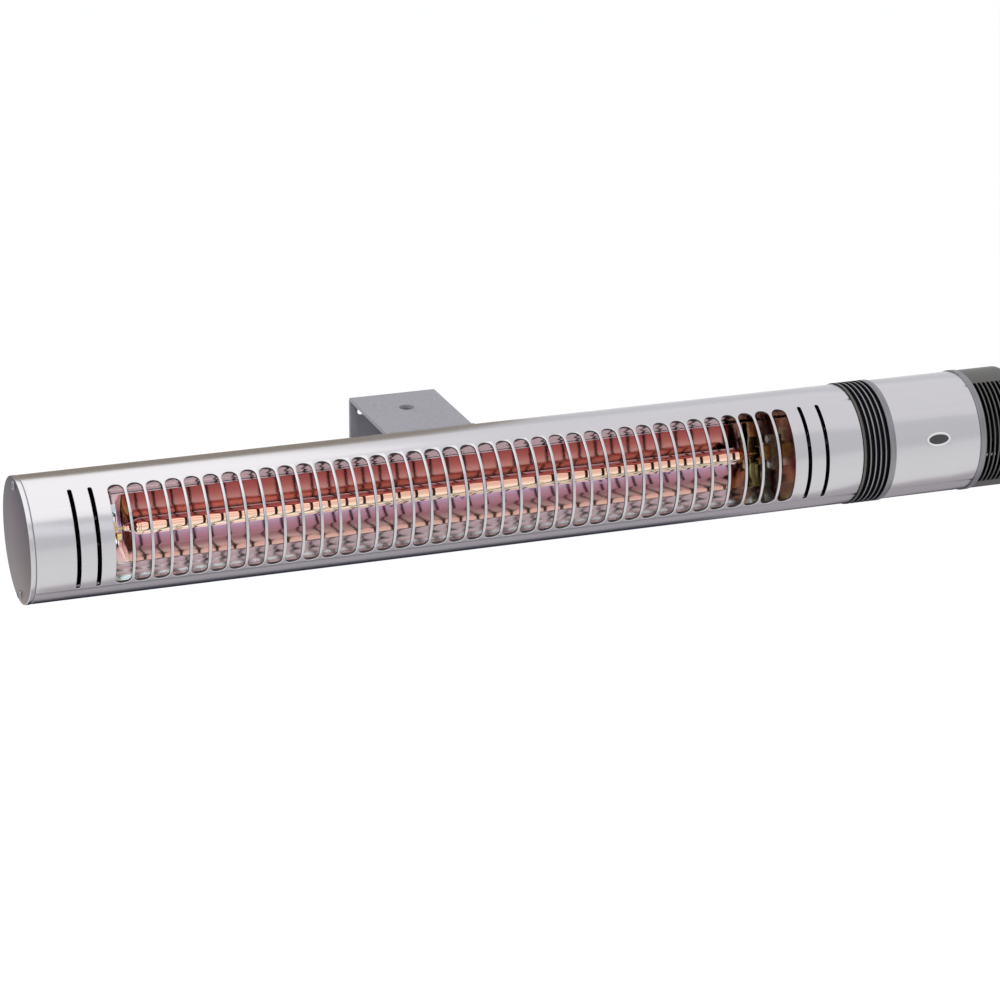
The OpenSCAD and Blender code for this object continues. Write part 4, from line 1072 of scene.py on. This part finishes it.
# %% Floor
def white_for_views(tree, lit, glow, share=1.0):
    """Mixes a lit shader with a share of glow that only camera, glossy and transmission rays meet."""
    nodes, links = tree.nodes, tree.links
    ray = nodes.new("ShaderNodeLightPath")
    seen = ray.outputs["Is Camera Ray"]
    for kind in ("Is Glossy Ray", "Is Transmission Ray"):
        either = nodes.new("ShaderNodeMath")
        either.operation = "MAXIMUM"
        links.new(seen, either.inputs[0])
        links.new(ray.outputs[kind], either.inputs[1])
        seen = either.outputs[0]
    part = nodes.new("ShaderNodeMath")
    part.operation = "MULTIPLY"
    part.inputs[1].default_value = share
    mix = nodes.new("ShaderNodeMixShader")
    links.new(seen, part.inputs[0])
    links.new(part.outputs[0], mix.inputs[0])
    links.new(lit.outputs[0], mix.inputs[1])
    links.new(glow.outputs[0], mix.inputs[2])
    return mix


FLOOR_Z, FLOOR_HALF = -0.60, 20
bm = bmesh.new()
bmesh.ops.create_grid(bm, x_segments=8, y_segments=8, size=FLOOR_HALF)
bmesh.ops.translate(bm, verts=bm.verts, vec=(0, 0, FLOOR_Z))
floor = link_mesh(bm, "studio_floor")
shader = plain_finish("floor_paint", (0.86, 0.86, 0.86), 0.9)
feed(shader, Specular_IOR_Level=0.0)
tree = shader.id_data
glow = add_node(tree, "Emission", Color=(1, 1, 1, 1), Strength=1.1)
mix = white_for_views(tree, shader, glow, share=0.8)
feed(tree.nodes["Material Output"], Surface=mix.outputs[0])
floor.data.materials.append(FINISHES["floor_paint"])
print("floor at", FLOOR_Z, "m")

# %% [markdown]
# Two wide softboxes hang above the heater, a strong one to the left and a weak one to the right, so the tube
# darkens to the right as in the photograph. A third stands in front, a little cooler, and draws a soft
# band along the tube's front.

# %% Softboxes
def softbox(name, place, aim, width, height, level, colour):
    """level is what a mirror shows of it on top of the world behind it, where 1 is white."""
    lamp = bpy.data.lights.new(name, "AREA")
    lamp.shape = "RECTANGLE"
    lamp.size = width
    lamp.size_y = height
    lamp.energy = 4 * level * width * height
    lamp.color = colour
    obj = bpy.data.objects.new(name, lamp)
    direction = Vector(aim) - Vector(place)
    obj.matrix_world = Matrix.Translation(place) @ direction.to_track_quat("-Z", "Y").to_matrix().to_4x4()
    bpy.context.scene.collection.objects.link(obj)
    print("softbox", name, "with", round(lamp.energy, 2), "W")


WARM, COOL = (1.0, 0.98, 0.94), (0.94, 0.965, 1.0)
softbox("overhead_left", (-0.95, 0.185, 1.0), (-0.95, 0.185, 0), 2.5, 2.43, 0.55, WARM)
softbox("overhead_right", (1.25, 0.185, 1.0), (1.25, 0.185, 0), 1.9, 2.43, 0.16, WARM)
softbox("front_softbox", (-0.6, -1.6, 0.95), (0, AXIS_Y * MM, 0), 2.2, 0.55, 0.26, COOL)

# %% [markdown]
# Metal is dark only where it reflects something dark. Photographers set up grey cards for this, out of the
# picture. Two lie on the floor: a wide one darkens towards the back and gives the tube its dark lower
# edge, and a smaller one darkens the left part sooner. One stands far behind, and draws the brown line
# along the tube's top edge. Only mirrors see the cards, so they cast no shadow and take no light away.

# %% Cards
def card(name, low, high, shades):
    """A glowing card from corner to corner, with its shades given as (y, colour)."""
    bm = bmesh.new()
    bmesh.ops.create_grid(bm, x_segments=4, y_segments=4, size=0.5)
    size = [b - a for a, b in zip(low, high)]
    if size[2] > size[1]:
        bmesh.ops.rotate(bm, verts=bm.verts, cent=(0, 0, 0), matrix=Matrix.Rotation(math.pi / 2, 3, "X"))
    bmesh.ops.scale(bm, verts=bm.verts, vec=[max(s, MM) for s in size])
    bmesh.ops.translate(bm, verts=bm.verts, vec=[(a + b) / 2 for a, b in zip(low, high)])
    obj = link_mesh(bm, name)
    paint = bpy.data.materials.new(name + "_paint")
    paint.use_nodes = True
    tree = paint.node_tree
    tree.nodes.remove(tree.nodes["Principled BSDF"])
    glow = add_node(tree, "Emission")
    feed(tree.nodes["Material Output"], Surface=glow.outputs["Emission"])
    first, last = shades[0][0], shades[-1][0]
    colours = [((y - first) / (last - first), colour) for y, colour in shades]
    colour_along(glow.inputs["Color"], "Y", first, last, colours)
    obj.data.materials.append(paint)
    obj.visible_camera = False
    obj.visible_shadow = False
    obj.visible_diffuse = False
    print("card", name, "with", len(shades), "shades")


LOW_CARD, HIGH_CARD = FLOOR_Z + 0.002, FLOOR_Z + 0.004
floor_shades = [
    (-0.31, (0.88, 0.85, 0.82)), (-0.27, (0.58, 0.55, 0.57)), (0.30, (0.44, 0.42, 0.45)),
    (0.55, (0.03, 0.03, 0.05)), (1.60, (0.01, 0.01, 0.03)), (2.30, (0.06, 0.06, 0.07)),
]
card("floor_card", (-0.34, -0.31, LOW_CARD), (2.4, 2.3, LOW_CARD), floor_shades)
back_shades = [(2.39, (0.34, 0.30, 0.25)), (2.41, (0.34, 0.30, 0.25))]
card("back_card", (-1.3, 2.4, FLOOR_Z), (0.95, 2.4, 1.6), back_shades)
edge_shades = [(0.14, (0.30, 0.29, 0.32)), (0.26, (0.02, 0.02, 0.04)), (1.80, (0.02, 0.02, 0.04))]
card("edge_card", (-0.34, 0.14, HIGH_CARD), (0.50, 1.8, HIGH_CARD), edge_shades)

# %% [markdown]
# The world is the rest of the white room. It fills the shadows with a slightly cool light, and mirrors and
# the camera see it a little brighter, by the same mix of lit and seen colour as the floor's.

# %% World
world = bpy.data.worlds.new("studio")
world.use_nodes = True
bpy.context.scene.world = world
tree = world.node_tree
fill = feed(tree.nodes["Background"], Color=(0.95, 0.96, 1.0, 1), Strength=0.7)
seen = add_node(tree, "Background", Color=(0.97, 0.97, 1.0, 1), Strength=0.85)
mix = white_for_views(tree, fill, seen)
feed(tree.nodes["World Output"], Surface=mix.outputs[0])
